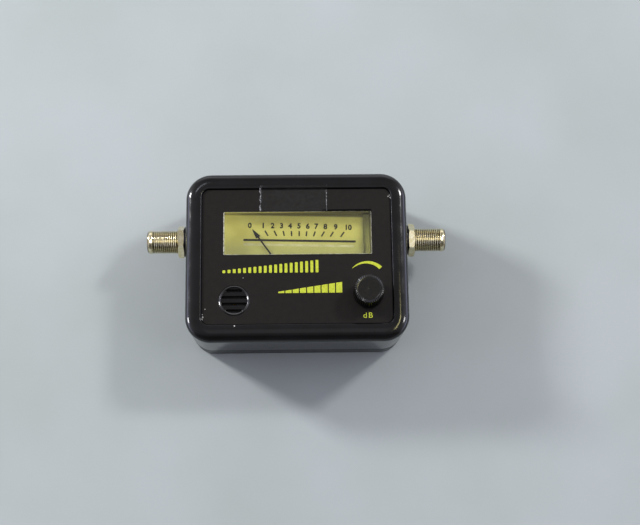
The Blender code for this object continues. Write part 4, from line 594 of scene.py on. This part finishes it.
def facePlate():
    low, top, edge = plate["low"], plate["top"], plate["edge"]
    rings = [recessRing(plate["clearance"], low)]
    rings += [recessRing(plate["clearance"] + edge - a, top - edge + b) for a, b in arc(edge, 0, 90, 3)]
    cuts = [openingCutter(lambda out: windowOutline(out, window["corner"] + out), low - 1, top, edge, 3)]
    for (x, y), radius in ((grille["centre"], grille["plateHole"]),
                           (knobPlace["centre"], plate["knobHole"])):
        cuts.append(openingCutter(lambda out: [(x + p, y + q) for p, q, _ in circle(radius + out, 96, 0)],
                                  low - 1, top, edge, 3))
    return combined(skin(rings), joined(cuts), "DIFFERENCE")


makePiece("face_plate_film", facePlate(), printedFilm, replaces=["face_plate"])


# Prints on the face

inkThickness = 0.03
capitalShare = 0.73     # the font's capitals stand this share of its size


def addInk(bm, outline, z):
    prism(outline, z, z + inkThickness, bm)


# Words and figures come from Blender's own font, cut out as thin raised ink
def lettering(words, height, place, z, turn=0.0, stretch=1.0, weight=0.0, spacing=1.0):
    curve = bpy.data.curves.new("lettering", "FONT")
    curve.body = words
    curve.size = height / capitalShare
    curve.align_x = "CENTER"
    curve.align_y = "CENTER"
    curve.extrude = inkThickness / 2
    curve.offset = weight
    curve.space_character = spacing
    curve.resolution_u = 4
    obj = addObject("lettering", curve)
    mesh = bpy.data.meshes.new_from_object(obj.evaluated_get(bpy.context.evaluated_depsgraph_get()))
    bm = bmesh.new()
    bm.from_mesh(mesh)
    bpy.data.objects.remove(obj)
    bpy.data.curves.remove(curve)
    bpy.data.meshes.remove(mesh)
    bmesh.ops.remove_doubles(bm, verts=bm.verts, dist=0.0005)
    places = [vert.co for vert in bm.verts]
    middle = Vector([(min(p[i] for p in places) + max(p[i] for p in places)) / 2 for i in (0, 1)] + [0])
    return moved(bm, Matrix.Translation((*place, z + inkThickness / 2))
                 @ Matrix.Rotation(math.radians(turn), 4, "Z")
                 @ Matrix.Diagonal((stretch, 1, 1, 1)) @ Matrix.Translation(-middle))


# A rising ladder of signal bars on the upper line
bars = dict(left=-30.0, right=8.7, base=-7.1, top=-1.9, count=19, width=1.15, lowest=1.2, corner=0.25)


def signalBars(left, right, base, top, count, width, lowest, corner):
    bm = bmesh.new()
    for index in range(count):
        share = index / (count - 1)
        x = left + width / 2 + share * (right - left - width)
        high = lowest + share * (top - base - lowest)
        addInk(bm, roundedOutline(width, high, corner, 3, (x, base + high / 2)), plate["top"])
    return bm


makePiece("print_signal_bars", signalBars(**bars), limeInk)

# A long gain wedge on the lower line, thin at the left and full towards the knob
wedge = dict(left=-7.6, right=18.6, base=-15.6, top=-11.1, cuts=9, slit=0.45, thinEnd=0.12)


def gainWedge(left, right, base, top, cuts, slit, thinEnd):
    bm = bmesh.new()
    step = (right - left) / cuts
    for index in range(cuts):
        x0 = left + index * step
        x1 = x0 + step - slit
        y0, y1 = [base + (top - base) * (thinEnd + (1 - thinEnd) * (x - left) / (right - left))
                  for x in (x0, x1)]
        addInk(bm, [(x0, base), (x1, base), (x1, y1), (x0, y0)], plate["top"])
    return bm


makePiece("print_gain_wedge", gainWedge(**wedge), limeInk)

# The crescent over the knob: thin at the left, thick and blunt at the right
crescent = dict(centre=(28.6, -10.9), radius=8.3, start=139, end=46, thin=0.15, thick=1.55, swell=0.8,
                steps=36)


def crescentInk(centre, radius, start, end, thin, thick, swell, steps):
    outer, inner = [], []
    for step in range(steps + 1):
        share = step / steps
        angle = math.radians(start + (end - start) * share)
        width = thin + (thick - thin) * share ** swell
        for line, reach in ((outer, radius), (inner, radius - width)):
            line.append((centre[0] + reach * math.cos(angle), centre[1] + reach * math.sin(angle)))
    bm = bmesh.new()
    low, high = [[[bm.verts.new((x, y, z)) for x, y in line] for line in (outer, inner)]
                 for z in (plate["top"], plate["top"] + inkThickness)]
    for i in range(steps):
        bm.faces.new((high[0][i], high[0][i + 1], high[1][i + 1], high[1][i]))
        bm.faces.new((low[1][i], low[1][i + 1], low[0][i + 1], low[0][i]))
        for line in (0, 1):
            bm.faces.new((low[line][i], low[line][i + 1], high[line][i + 1], high[line][i]))
    for i in (0, steps):
        bm.faces.new((low[0][i], high[0][i], high[1][i], low[1][i]))
    return bm


makePiece("print_crescent", crescentInk(**crescent), limeInk)

unitMark = dict(words="dB", height=2.3, place=(28.3, -25.05), stretch=1.05, spacing=1.25)
makePiece("print_unit_mark", lettering(z=plate["top"], **unitMark), limeInk)
print("face made")

# Dial

dial = dict(top=27.4, figureHeight=2.2, figureWidth=0.98, figureWeight=0.13, figureTurn=-1.4,
            tickWidth=0.58, drop=0.48,
            figures=[(-19.1, 14.72), (-13.6, 14.63), (-9.75, 14.55), (-6.1, 14.47), (-2.6, 14.4),
                     (1.05, 14.32), (4.65, 14.2), (8.2, 14.08), (11.85, 13.92), (16.1, 13.74), (21.4, 13.5)],
            ticks=[((-12.9, 12.42), (-11.64, 10.15)), ((-9.13, 12.32), (-8.12, 10.1)),
                   ((-5.48, 12.22), (-4.96, 10.05)), ((-2.1, 12.15), (-1.95, 10.0)),
                   ((1.12, 12.05), (1.08, 9.92)), ((4.25, 11.98), (3.95, 9.86)),
                   ((7.7, 11.9), (6.95, 9.8)), ((11.42, 11.8), (10.16, 9.7)),
                   ((15.12, 11.68), (13.81, 9.6)), ((19.51, 11.55), (17.99, 9.4))],
            blackRule=((-21.7, 8.53), (24.15, 7.42), 0.9), creamRule=((-21.7, 6.62), (23.4, 5.47), 0.95))

# The film itself, with rounded corners, folded up along the top of the window and down its right end
sheet = dict(left=-29.5, right=27.3, low=0.4, high=19.1, corner=0.5, thickness=0.3, edge=0.06,
             lip=1.4, lipEnd=30.3, lipInset=0.5, lipThickness=0.15, lipOverlap=0.05)


def dialSheet(left, right, low, high, corner, thickness, edge, lip, lipEnd, lipInset, lipThickness,
              lipOverlap):
    top = dial["top"]
    centre = ((left + right) / 2, (low + high) / 2)
    rings = [atHeight(roundedOutline(right - left - 2 * inset, high - low - 2 * inset, corner - inset, 6,
                                     centre), z)
             for inset, z in ((0, top - thickness), (0, top - edge), (edge, top))]
    start, foot, side, under = left + lipInset, low + lipInset, lipEnd - lipThickness, high - lipThickness
    fold = [(start, high), (start, under), (side, under), (side, foot), (lipEnd, foot), (lipEnd, high)]
    return joined([skin(rings), prism(fold, top - lipOverlap, top + lip)])


# Straight strokes of ink on the film, each with its start, end and width
def strokes(lines):
    bm = bmesh.new()
    drop = Vector((0, -dial["drop"], 0))
    for start, end, width in lines:
        along = Vector((end[0] - start[0], end[1] - start[1], 0)).normalized()
        across = Vector((-along.y, along.x, 0)) * width / 2
        a, b = Vector((*start, 0)) + drop, Vector((*end, 0)) + drop
        addInk(bm, [(p.x, p.y) for p in (a + across, a - across, b - across, b + across)], dial["top"])
    return bm


makePiece("dial_sheet", dialSheet(**sheet), dialFilm, replaces=["dial_plate"])
figures = [lettering(str(number), dial["figureHeight"], (x, y - dial["drop"]), dial["top"],
                     turn=dial["figureTurn"], stretch=dial["figureWidth"], weight=dial["figureWeight"])
           for number, (x, y) in enumerate(dial["figures"])]
makePiece("dial_figures", joined(figures), darkInk)
makePiece("dial_ticks", strokes([(*tick, dial["tickWidth"]) for tick in dial["ticks"]]), darkInk)
makePiece("dial_black_rule", strokes([dial["blackRule"]]), darkInk)
makePiece("dial_cream_rule", strokes([dial["creamRule"]]), creamInk)


# The clear lid: a raised lens that fills the window, and the meter's own cover behind the panel
lid = dict(low=24.25, top=30.1, wall=1.2, roof=1.0, lensTop=33.16, edge=0.32, overlap=0.3, room=0.1,
           halfWidth=31.2, topEdge=20.4, shoulder=-1.2, neck=13.48, neckX=1.0, bottom=-27.2)


def meterRing(inset, z):
    x, half, neck = window["x"], lid["halfWidth"] - inset, lid["neck"] - inset
    high, shoulder, low = lid["topEdge"] - inset, lid["shoulder"] + inset, lid["bottom"] + inset
    left, right = lid["neckX"] - neck, lid["neckX"] + neck
    return atHeight([(x + half, shoulder), (x + half, high), (x - half, high), (x - half, shoulder),
                     (left, shoulder), (left, low), (right, low), (right, shoulder)], z)


def clearLid():
    roof, edge, corner = lid["top"] - lid["roof"], lid["edge"], window["corner"]
    shell = skin([meterRing(lid["wall"], roof), meterRing(lid["wall"], lid["low"]),
                  meterRing(0, lid["low"]), meterRing(0, lid["top"])])
    rings = [atHeight(windowOutline(lid["room"], corner), roof + lid["overlap"])]
    for a, b in arc(edge, 0, 90, 5):
        inset = edge - a
        rings.append(atHeight(windowOutline(lid["room"] - inset, corner - inset), lid["lensTop"] - edge + b))
    return combined(shell, skin(rings), "UNION")


makePiece("clear_lid", clearLid(), clearStyrene, replaces=["meter_lid"])

# The edge of the lens, painted white: partly its frosted, sawn edge and partly a painted highlight where it
# catches the light, widest at the left
edgeFrostAndHighlight = dict(low=33.02, high=33.2, left=0.42, right=0.14, up=0.02, down=0.1, corner=0.5)


def frostedEdge(low, high, left, right, up, down, corner):
    outer = windowOutline(0, window["corner"])
    inner = roundedOutline(window["width"] - left - right, window["height"] - up - down, corner, 6,
                           (window["x"] + (left - right) / 2, window["y"] + (down - up) / 2))
    return skin([atHeight(inner, low), atHeight(outer, low), atHeight(outer, high), atHeight(inner, high)],
                loop=True)


makePiece("lens_edge_frost_and_highlight", frostedEdge(**edgeFrostAndHighlight), frostedStyrene)

# Painted shadow in the gap where the printed film stops just short of the lens along its top: a strip of deep
# black
shadowGapLine = dict(left=10.6, right=30.6, width=0.85, corner=0.1, low=33.0, top=33.17)


def bareStrip(left, right, width, corner, low, top):
    middle = ((left + right) / 2, window["y"] + window["height"] / 2 + width / 2)
    return prism(roundedOutline(right - left, width, corner, 3, middle), low, top)


makePiece("film_edge_shadow_strip", bareStrip(**shadowGapLine), shadowBlack)
print("dial and lid made")

# Knob

# crown runs in from the chamfer to the dot: radius, fall below the top, share of the flutes' depth
knob = dict(base=6.2, top=5.88, height=8.2, straight=7.78, foot=0.2, bore=3.15, boreDepth=6.5,
            flutes=40, pointsPerFlute=8, depth=0.5, valley=1.6,
            crown=[(5.84, 0.34, 1), (5.16, 0, 0.9), (4.7, 0.02, 0), (4.45, 0.12, 0), (4.4, 0.122, 0),
                   (4.2, 0.122, 0), (0.42, 0.12, 0), (0.32, 0.24, 0), (0.06, 0.32, 0)])


def knobShape(base, top, height, straight, foot, bore, boreDepth, flutes, pointsPerFlute, depth, valley,
              crown):
    def ring(radius, z, share=1.0):
        points = []
        count = flutes * pointsPerFlute
        for i in range(count):
            hollow = (0.5 - 0.5 * math.cos(2 * math.pi * i / pointsPerFlute)) ** valley
            reach = radius - depth * share * hollow
            angle = 2 * math.pi * i / count
            points.append((reach * math.cos(angle), reach * math.sin(angle), z))
        return points

    rings = [ring(bore, boreDepth, 0), ring(bore, 0, 0), ring(base - foot, 0), ring(base, foot)]
    for step in range(1, 5):
        z = foot + (straight - foot) * step / 4
        rings.append(ring(base - (base - top) / height * z, z))
    return skin(rings + [ring(radius, height - fall, share) for radius, fall, share in crown])


knobTurn = moved(knobShape(**knob), Matrix.Translation((*knobPlace["centre"], knobPlace["bottom"])))
knobPiece = makePiece("knob_cap", knobTurn, knobAbs, body="sensitivity_knob", replaces=["knob"],
                      sharp=20)
print("knob made")

# Connectors

# lastCrest ends the thread: how far each point is from the crest's radius and past the thread's end
connector = dict(thread=4.83, threadDepth=0.42, pitch=0.794, tail=37.48, shoulder=39.5, flange=41.3,
                 tip=61.85, plain=2.35, nose=1.75, noseFall=1.0, bore=3.5, edge=0.2, tailEdge=0.15,
                 lastCrest=[(-0.42, 0.02), (-0.05, 0.12), (0.0, 0.2), (-0.04, 0.32), (-0.16, 0.42)],
                 flangeRadius=6.0, tailRadius=4.1, count=64)
# share of a turn, share of the depth: crests and roots are both rounded
threadShape = [(k / 10, 0.5 + 0.5 * math.cos(2 * math.pi * k / 10)) for k in range(10)]


# A real helical thread between two heights, run out to the root at both ends
def helix(crest, depth, pitch, low, high, count):
    bm = bmesh.new()
    columns = []
    for column in range(count + 1):
        share = column / count
        angle = 2 * math.pi * share
        verts = []
        for turn in range(-1, int((high - low) / pitch) + 2):
            for phase, rise in threadShape:
                z = min(max(low + (turn + phase + share) * pitch, low), high)
                fade = min(1, (z - low) / (0.5 * pitch), (high - z) / (0.5 * pitch))
                radius = crest - depth * (1 - rise * max(fade, 0))
                verts.append(bm.verts.new((radius * math.cos(angle), radius * math.sin(angle), z)))
        columns.append(verts)
    for left, right in zip(columns, columns[1:]):
        for i in range(len(left) - 1):
            bm.faces.new((left[i], right[i], right[i + 1], left[i + 1]))
    bmesh.ops.remove_doubles(bm, verts=bm.verts, dist=0.0005)
    return bm


def connectorBody(thread, threadDepth, pitch, tail, shoulder, flange, tip, plain, nose, noseFall, bore,
                  edge, tailEdge, lastCrest, flangeRadius, tailRadius, count):
    root, end = thread - threadDepth, tip - plain
    profile = [(root, end)] + [(thread + out, end + up) for out, up in lastCrest]
    profile.append((profile[-1][0], tip - nose - 0.12))
    profile += [(thread - noseFall * (1 - a), tip - nose * (1 - b)) for a, b in arc(1, 0, 90, 10)]
    profile += [(bore + edge, tip), (bore, tip - edge), (bore, tail), (tailRadius - tailEdge, tail),
                (tailRadius, tail + tailEdge), (tailRadius, shoulder), (flangeRadius - edge, shoulder),
                (flangeRadius, shoulder + edge), (flangeRadius, flange - edge),
                (flangeRadius - edge, flange), (root, flange)]
    turnedPart = skin([circle(radius, count, z) for radius, z in profile], closed=False)
    whole = joined([helix(thread, threadDepth, pitch, flange, end, count), turnedPart])
    bmesh.ops.remove_doubles(whole, verts=whole.verts, dist=0.0005)
    return whole


# Inside the mouth: a white insulator with a funnel that leads to the split contact
insulator = dict(radius=3.35, bore=0.65, low=37.98, high=61.35, edge=0.2, funnel=1.5, funnelDepth=1.3,
                 lip=(0.15, 0.1), throat=(0.1, 0.2))


def insulatorShape(radius, bore, low, high, edge, funnel, funnelDepth, lip, throat):
    bottom = high - funnelDepth
    return turned([(bore, low), (radius, low), (radius, high - edge), (radius - edge, high),
                   (funnel + lip[0], high), (funnel, high - lip[1]), (bore + throat[0], bottom),
                   (bore, bottom - throat[1])], 64, loop=True)


# turn has the hexagon's angle on each side, in degrees
nut = dict(flats=11.9, low=46.48, high=49.25, bore=4.91, mouth=0.3, washerFace=5.6, innerChamfer=0.3,
           outerChamfer=0.6, turn={-1: 29.5, 1: 41.6})
washer = dict(radius=6.2, bore=4.91, low=46.03, high=46.43, edge=0.1)


def nutShape(side, flats, low, high, bore, mouth, washerFace, innerChamfer, outerChamfer, turn):
    corner = flats / math.sqrt(3)
    angles = [math.radians(turn[side] + 60 * k) for k in range(6)]
    hexagon = prism([(corner * math.cos(a), corner * math.sin(a)) for a in angles], low, high)
    chamfers = turned([(0, low - 0.1), (washerFace, low - 0.1), (washerFace, low),
                       (corner + 0.1, low + innerChamfer), (corner + 0.1, high - outerChamfer),
                       (washerFace, high), (washerFace, high + 0.1), (0, high + 0.1)], 96)
    hole = turned([(0, low - 0.5), (bore + mouth + 0.1, low - 0.5), (bore + mouth, low),
                   (bore, low + mouth), (bore, high - mouth), (bore + mouth, high),
                   (bore + mouth + 0.1, high + 0.5), (0, high + 0.5)], 96)
    return combined(combined(hexagon, chamfers, "INTERSECT"), hole, "DIFFERENCE")


def washerShape(radius, bore, low, high, edge):
    return turned([(bore, low), (radius - edge, low), (radius, low + edge), (radius, high - edge),
                   (radius - edge, high), (bore, high)], 96, loop=True)


threads, nuts = [], []
for side, label in ((-1, "left"), (1, "right")):
    threads.append(makePiece(f"f_body_{label}", sideways(connectorBody(**connector), side), nickelPlate,
                             replaces=[f"connector_body_{label}"], sharp=40))
    nuts.append(makePiece(f"f_nut_{label}", sideways(nutShape(side, **nut), side), nickelPlate,
                          replaces=[f"connector_nut_{label}"], sharp=25))
    makePiece(f"f_washer_{label}", sideways(washerShape(**washer), side), blackSteel,
              replaces=[f"connector_washer_{label}"])
    makePiece(f"f_insulator_{label}", sideways(insulatorShape(**insulator), side), polythene,
              replaces=[f"connector_insulator_{label}"])
print("connectors made")

# Screws

screw = dict(seat=4.9, head=1.8, rim=0.5, headRadius=2.5, shank=1.3, threadDepth=0.28, pitch=1.0,
             tip=18.5, neck=0.4, point=2.0, crossLength=2.6, crossWidth=0.62, crossDepth=1.2,
             crossTaper=(0.35, 0.7))


def screwShape(place, seat, head, rim, headRadius, shank, threadDepth, pitch, tip, neck, point,
               crossLength, crossWidth, crossDepth, crossTaper):
    low, root, start, end = seat - head, shank - threadDepth, seat + neck, tip - point
    rings = [circle(max(headRadius * out, 0.01), 48, seat - rim - (head - rim) * down)
             for down, out in arc(1, 0, 90, 9)]
    rings += [circle(headRadius, 48, seat), circle(root, 48, seat), circle(root, 48, start)]
    cone = [circle(root, 48, end), circle(root * 0.7, 48, tip - 0.8), circle(0.02, 48, tip)]
    whole = joined([skin(rings, closed=False), helix(shank, threadDepth, pitch, start, end, 48),
                    skin(cone, closed=False)])
    bmesh.ops.remove_doubles(whole, verts=whole.verts, dist=0.001)
    bmesh.ops.holes_fill(whole, edges=whole.edges, sides=60)
    half, width = crossLength / 2, crossWidth / 2
    wide = [(-half, -width), (half, -width), (half, width), (-half, width)]
    narrow = [(x * crossTaper[0], y * crossTaper[1]) for x, y in wide]
    for turn in (0, 90):
        blade = skin([atHeight(wide, low - 0.5), atHeight(narrow, low + crossDepth)])
        whole = combined(whole, moved(blade, Matrix.Rotation(math.radians(turn), 4, "Z")), "DIFFERENCE")
    return moved(whole, Matrix.Translation((*place, 0)) @ Matrix.Rotation(sum(place), 4, "Z"))


for index, place in enumerate(screwPlaces(), start=1):
    makePiece(f"case_screw_{index}", screwShape(place, **screw), zincPlate,
              replaces=[f"housing_screw_{index}"], sharp=30)
print("screws made")

# Tape over the rim

tape = dict(left=tapeLeft, right=tapeRight, low=18.95, high=29.8, thickness=0.06, across=80, along=44,
            rimLevel=33.94, plateLevel=33.13, rimEdge=28.5, bend=0.9, leftWaver=[(0.25, 1.7), (0.15, 4.1)],
            rightWaver=(0.12, 3.5), liftReach=0.03, lift=0.18, liftWaver=(0.12, 2.6), ripple=(0.03, 1.3, 2.2))


# Its cut ends waver, its left end has lifted, and the rest ripples a little where it lies on the plate.
# Each waver has its height and its rate in radians to the mm, and liftReach is a share of the length.
def tapeShape(left, right, low, high, thickness, across, along, rimLevel, plateLevel, rimEdge, bend,
              leftWaver, rightWaver, liftReach, lift, liftWaver, ripple):
    rng = random.Random(4)
    phases = [rng.uniform(0, 6.28) for _ in range(6)]

    def wave(height, rate, at, phase):
        return height * math.sin(at * rate + phases[phase])

    bm = bmesh.new()
    layers = []
    for layer in (0, 1):
        rows = []
        for j in range(along + 1):
            y = low + (high - low) * j / along
            start = left + wave(*leftWaver[0], y, 0) + wave(*leftWaver[1], y, 1)
            end = right + wave(*rightWaver, y, 2)
            slope = min(max((y - rimEdge + bend) / (2 * bend), 0), 1)
            slope = slope * slope * (3 - 2 * slope)
            level = plateLevel + (rimLevel - plateLevel) * slope
            row = []
            for i in range(across + 1):
                share = i / across
                x = start + (end - start) * share
                rise = math.exp(-(share / liftReach) ** 2) * (lift + wave(*liftWaver, y, 3))
                rise += wave(ripple[0], ripple[1], x, 4) * wave(1, ripple[2], y, 5) * (1 - slope)
                row.append(bm.verts.new((x, y, level + max(rise, 0) + layer * thickness)))
            rows.append(row)
        for a, b in zip(rows, rows[1:]):
            for i in range(across):
                bm.faces.new((a[i], a[i + 1], b[i + 1], b[i]))
        layers.append(rows)
    under, over = layers
    rim = [(j, 0) for j in range(along + 1)] + [(along, i) for i in range(1, across + 1)]
    rim += [(j, across) for j in range(along - 1, -1, -1)] + [(0, i) for i in range(across - 1, 0, -1)]
    for (j0, i0), (j1, i1) in zip(rim, rim[1:] + rim[:1]):
        bm.faces.new((under[j0][i0], under[j1][i1], over[j1][i1], over[j0][i0]))
    return bm


makePiece("film_strip", tapeShape(**tape), clearTape)
print("tape made")

# Specks of dust and plastic burr caught in the corners of the face, by what they lie on: (x, y, radius)
specks = {case["height"]: [(-25.1, -29.2, 0.32)],
          plate["top"]: [(-38.1, -26.1, 0.28), (-37.8, -25.3, 0.34), (-36.9, -22.0, 0.2),
                         (-38.0, -24.2, 0.2), (37.7, 24.9, 0.26), (38.5, 24.4, 0.3),
                         (38.2, 25.4, 0.24), (-21.7, -9.2, 0.16)]}


def speckShape():
    bm = bmesh.new()
    for foot, places in specks.items():
        for x, y, radius in places:
            skin([circle(max(radius * out, 0.01), 10, foot + radius * 0.7 * up, (x, y))
                  for out, up in arc(1, 0, 90, 5)], bm)
    return bm


makePiece("face_specks", speckShape(), dust)

# Pieces carried over from the frame, by finish

finishes = {
    "milkyAcrylic": ["light_diffuser", "dial_lamp"],
    "phenolic": ["meter_base", "movement_frame"],
    "sprayedAluminium": ["needle"],
    "bareBrass": ["connector_contact_left", "connector_contact_right", "jewel_screw_front",
                  "jewel_screw_rear", "front_bridge", "buzzer_disc"],
    "zincPlate": ["board_screw_left", "board_screw_right", "pivot_front", "pivot_rear", "lamp_lead_left",
                  "lamp_lead_right"],
    "copperWire": ["moving_coil", "choke_left", "choke_right"],
    "rolledBronze": ["hairspring_front", "hairspring_rear"],
    "alnico": ["core_magnet"],
    "softIron": ["yoke_ring"],
    "solderResist": ["circuit_board"],
    "polythene": ["potentiometer_shaft"],
    "blackEpoxy": ["potentiometer_body", "buzzer_case", "buzzer_base", "transistor_1", "transistor_2",
                   "voltage_regulator", "amplifier_chip"],
    "shrinkSleeve": ["capacitor_1", "capacitor_2", "capacitor_3"],
    "dippedLacquer": ["resistor_1", "resistor_2"],
    "redPvc": ["buzzer_lead_red", "meter_lead_red"],
    "blackPvc": ["buzzer_lead_black", "meter_lead_black"],
}
for finish, names in finishes.items():
    for name in names:
        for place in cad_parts[name].material_slots:
            place.material = bpy.data.materials[finish]
print("carried pieces finished")

# Floor, lights, camera

# Matt card: pale blue-grey with very faint mottling
paleCard = newFinish("paleCard", "#bdc4c4", 0.9, IOR=1.45)
weather(paleCard, ("#b9c1bf", "#c2c9ca"), 90, (0.85, 0.95), 2.0, 0.02)
floorReach = 3.0    # metres from its middle to each side

bm = bmesh.new()
bmesh.ops.create_grid(bm, x_segments=8, y_segments=8, size=floorReach)
mesh = toMesh(bm, "floor")
mesh.materials.append(paleCard)
floor = addObject("floor", mesh)

lights = {
    "keyRight": dict(azimuth=33, elevation=40, size=(0.15, 0.15), power=4.3),
    "keyLeft": dict(azimuth=152, elevation=26, size=(0.16, 0.16), power=9.8),
}
# Small extra lamps that only put glints on the glossy mouldings
mouldingGlints = {
    "stripRight": dict(azimuth=0, elevation=67, size=(0.52, 0.06), power=1.9, colour="#f3eaa6"),
    "stripLeft": dict(azimuth=118, elevation=57, size=(0.26, 0.05), power=0.4, colour="#e2e6f2"),
    "shineUpRight": dict(azimuth=33, elevation=40, size=(0.22, 0.22), power=1.4, distance=1.25),
    "shineLowRight": dict(azimuth=1, elevation=38, size=(0.2, 0.2), power=3.0),
    "shineLowLeft": dict(azimuth=177, elevation=20, size=(0.24, 0.24), power=6.0),
}
# Two overhead ones that only brighten the crests of the nickel threads and the nuts
threadGlints = {
    "crestShine": dict(azimuth=270, elevation=86, size=(1.3, 0.5), power=14.0, colour="#eaf0ff"),
}
nutGlints = {
    "flatShine": dict(azimuth=90, elevation=88, size=(1.1, 0.3), power=1.4),
}


def addLamp(name, azimuth, elevation, size, power, distance=1.2, colour="#ffffff"):
    lamp = bpy.data.lights.new(name, "AREA")
    lamp.shape = "RECTANGLE"
    lamp.size, lamp.size_y = size
    lamp.energy = power
    lamp.color = toLinear(colour)[:3]
    obj = addObject(name, lamp)
    a, e = math.radians(azimuth), math.radians(elevation)
    obj.location = Vector((math.cos(a) * math.cos(e), math.sin(a) * math.cos(e), math.sin(e))) * distance
    obj.rotation_euler = obj.location.to_track_quat("Z", "Y").to_euler()
    return obj


for name, values in lights.items():
    addLamp(name, **values)
for name, pieces, glints in (("glossy mouldings", (frontShell, grilleRing, knobPiece), mouldingGlints),
                             ("threads", threads, threadGlints), ("nuts", nuts, nutGlints)):
    receivers = bpy.data.collections.new(name)
    for piece in pieces:
        receivers.objects.link(piece)
    for lampName, values in glints.items():
        addLamp(lampName, **values).light_linking.receiver_collection = receivers

# The room: even grey overhead, brighter towards the walls, darker on the side the camera stands
world = bpy.data.worlds.new("studio")
bpy.context.scene.world = world
world.use_nodes = True
background = world.node_tree.nodes["Background"]
direction = addNode(world, "TexCoord").outputs["Generated"]
towards = addNode(world, "SeparateXYZ", [direction]).outputs
low = addNode(world, "MapRange", [towards["Z"], 0.0, 1.0, 1.0, 0.0])
lowest = addNode(world, "Math", [low, 1.4], operation="POWER")
level = addNode(world, "MapRange", [lowest, 0.0, 1.0, 0.38, 2.55])
around = addNode(world, "MapRange", [towards["Y"], -1.0, 1.0])
share = addNode(world, "ValToRGB", [around])
# the ramp's own white stop at 1 stays
for position, grey in ((0.2, 0.1), (0.42, 1.0), (0.7, 1.0), (0.9, 0.3), (1.0, 0.2)):
    share.color_ramp.elements.new(position).color = (grey, grey, grey, 1)
share.color_ramp.elements.remove(share.color_ramp.elements[0])
aside = addNode(world, "Math", [towards["X"]], operation="ABSOLUTE")
corners = addNode(world, "MapRange", [aside, 0.15, 0.45, 0.0, 0.1])
lit = addNode(world, "Math", [share, corners], operation="MAXIMUM")
walls = addNode(world, "Math", [level, lit], operation="MULTIPLY")
# a soft skylight almost straight overhead
overhead = addNode(world, "VectorMath", [direction, (0, -0.04, 1.0)], operation="DOT_PRODUCT")
skylight = addNode(world, "MapRange", [overhead, 0.975, 0.997, 0.0, 0.3], interpolation_type="SMOOTHSTEP")
roofed = addNode(world, "Math", [walls, skylight], operation="ADD")
# bluish windows low down at the left and right
panes = addNode(world, "MapRange", [aside, 0.75, 0.95, 0.0, 1.0])
sill = addNode(world, "MapRange", [towards["Z"], 0.0, 0.38, 2.6, 0.0])
daylight = addNode(world, "Math", [panes, sill], operation="MULTIPLY")
tint = addNode(world, "Mix", {0: panes, 6: "#eeedf2", 7: "#d4d8f6"}, data_type="RGBA")
feed(world, background.inputs["Color"], tint)
feed(world, background.inputs["Strength"], addNode(world, "Math", [roofed, daylight], operation="ADD"))

# place in metres, turn in degrees
view = dict(lens=81.56, sensor=36.0, place=(-0.00165, -0.16248, 0.59656), turn=(15.8153, -0.8921, -0.8041))
eye = bpy.data.cameras.new("camera")
eye.lens = view["lens"]
eye.sensor_width = view["sensor"]
camera = addObject("camera", eye)
camera.location = view["place"]
camera.rotation_euler = [math.radians(angle) for angle in view["turn"]]
bpy.context.scene.camera = camera
bpy.context.scene.view_settings.view_transform = "Standard"

print("scene made")
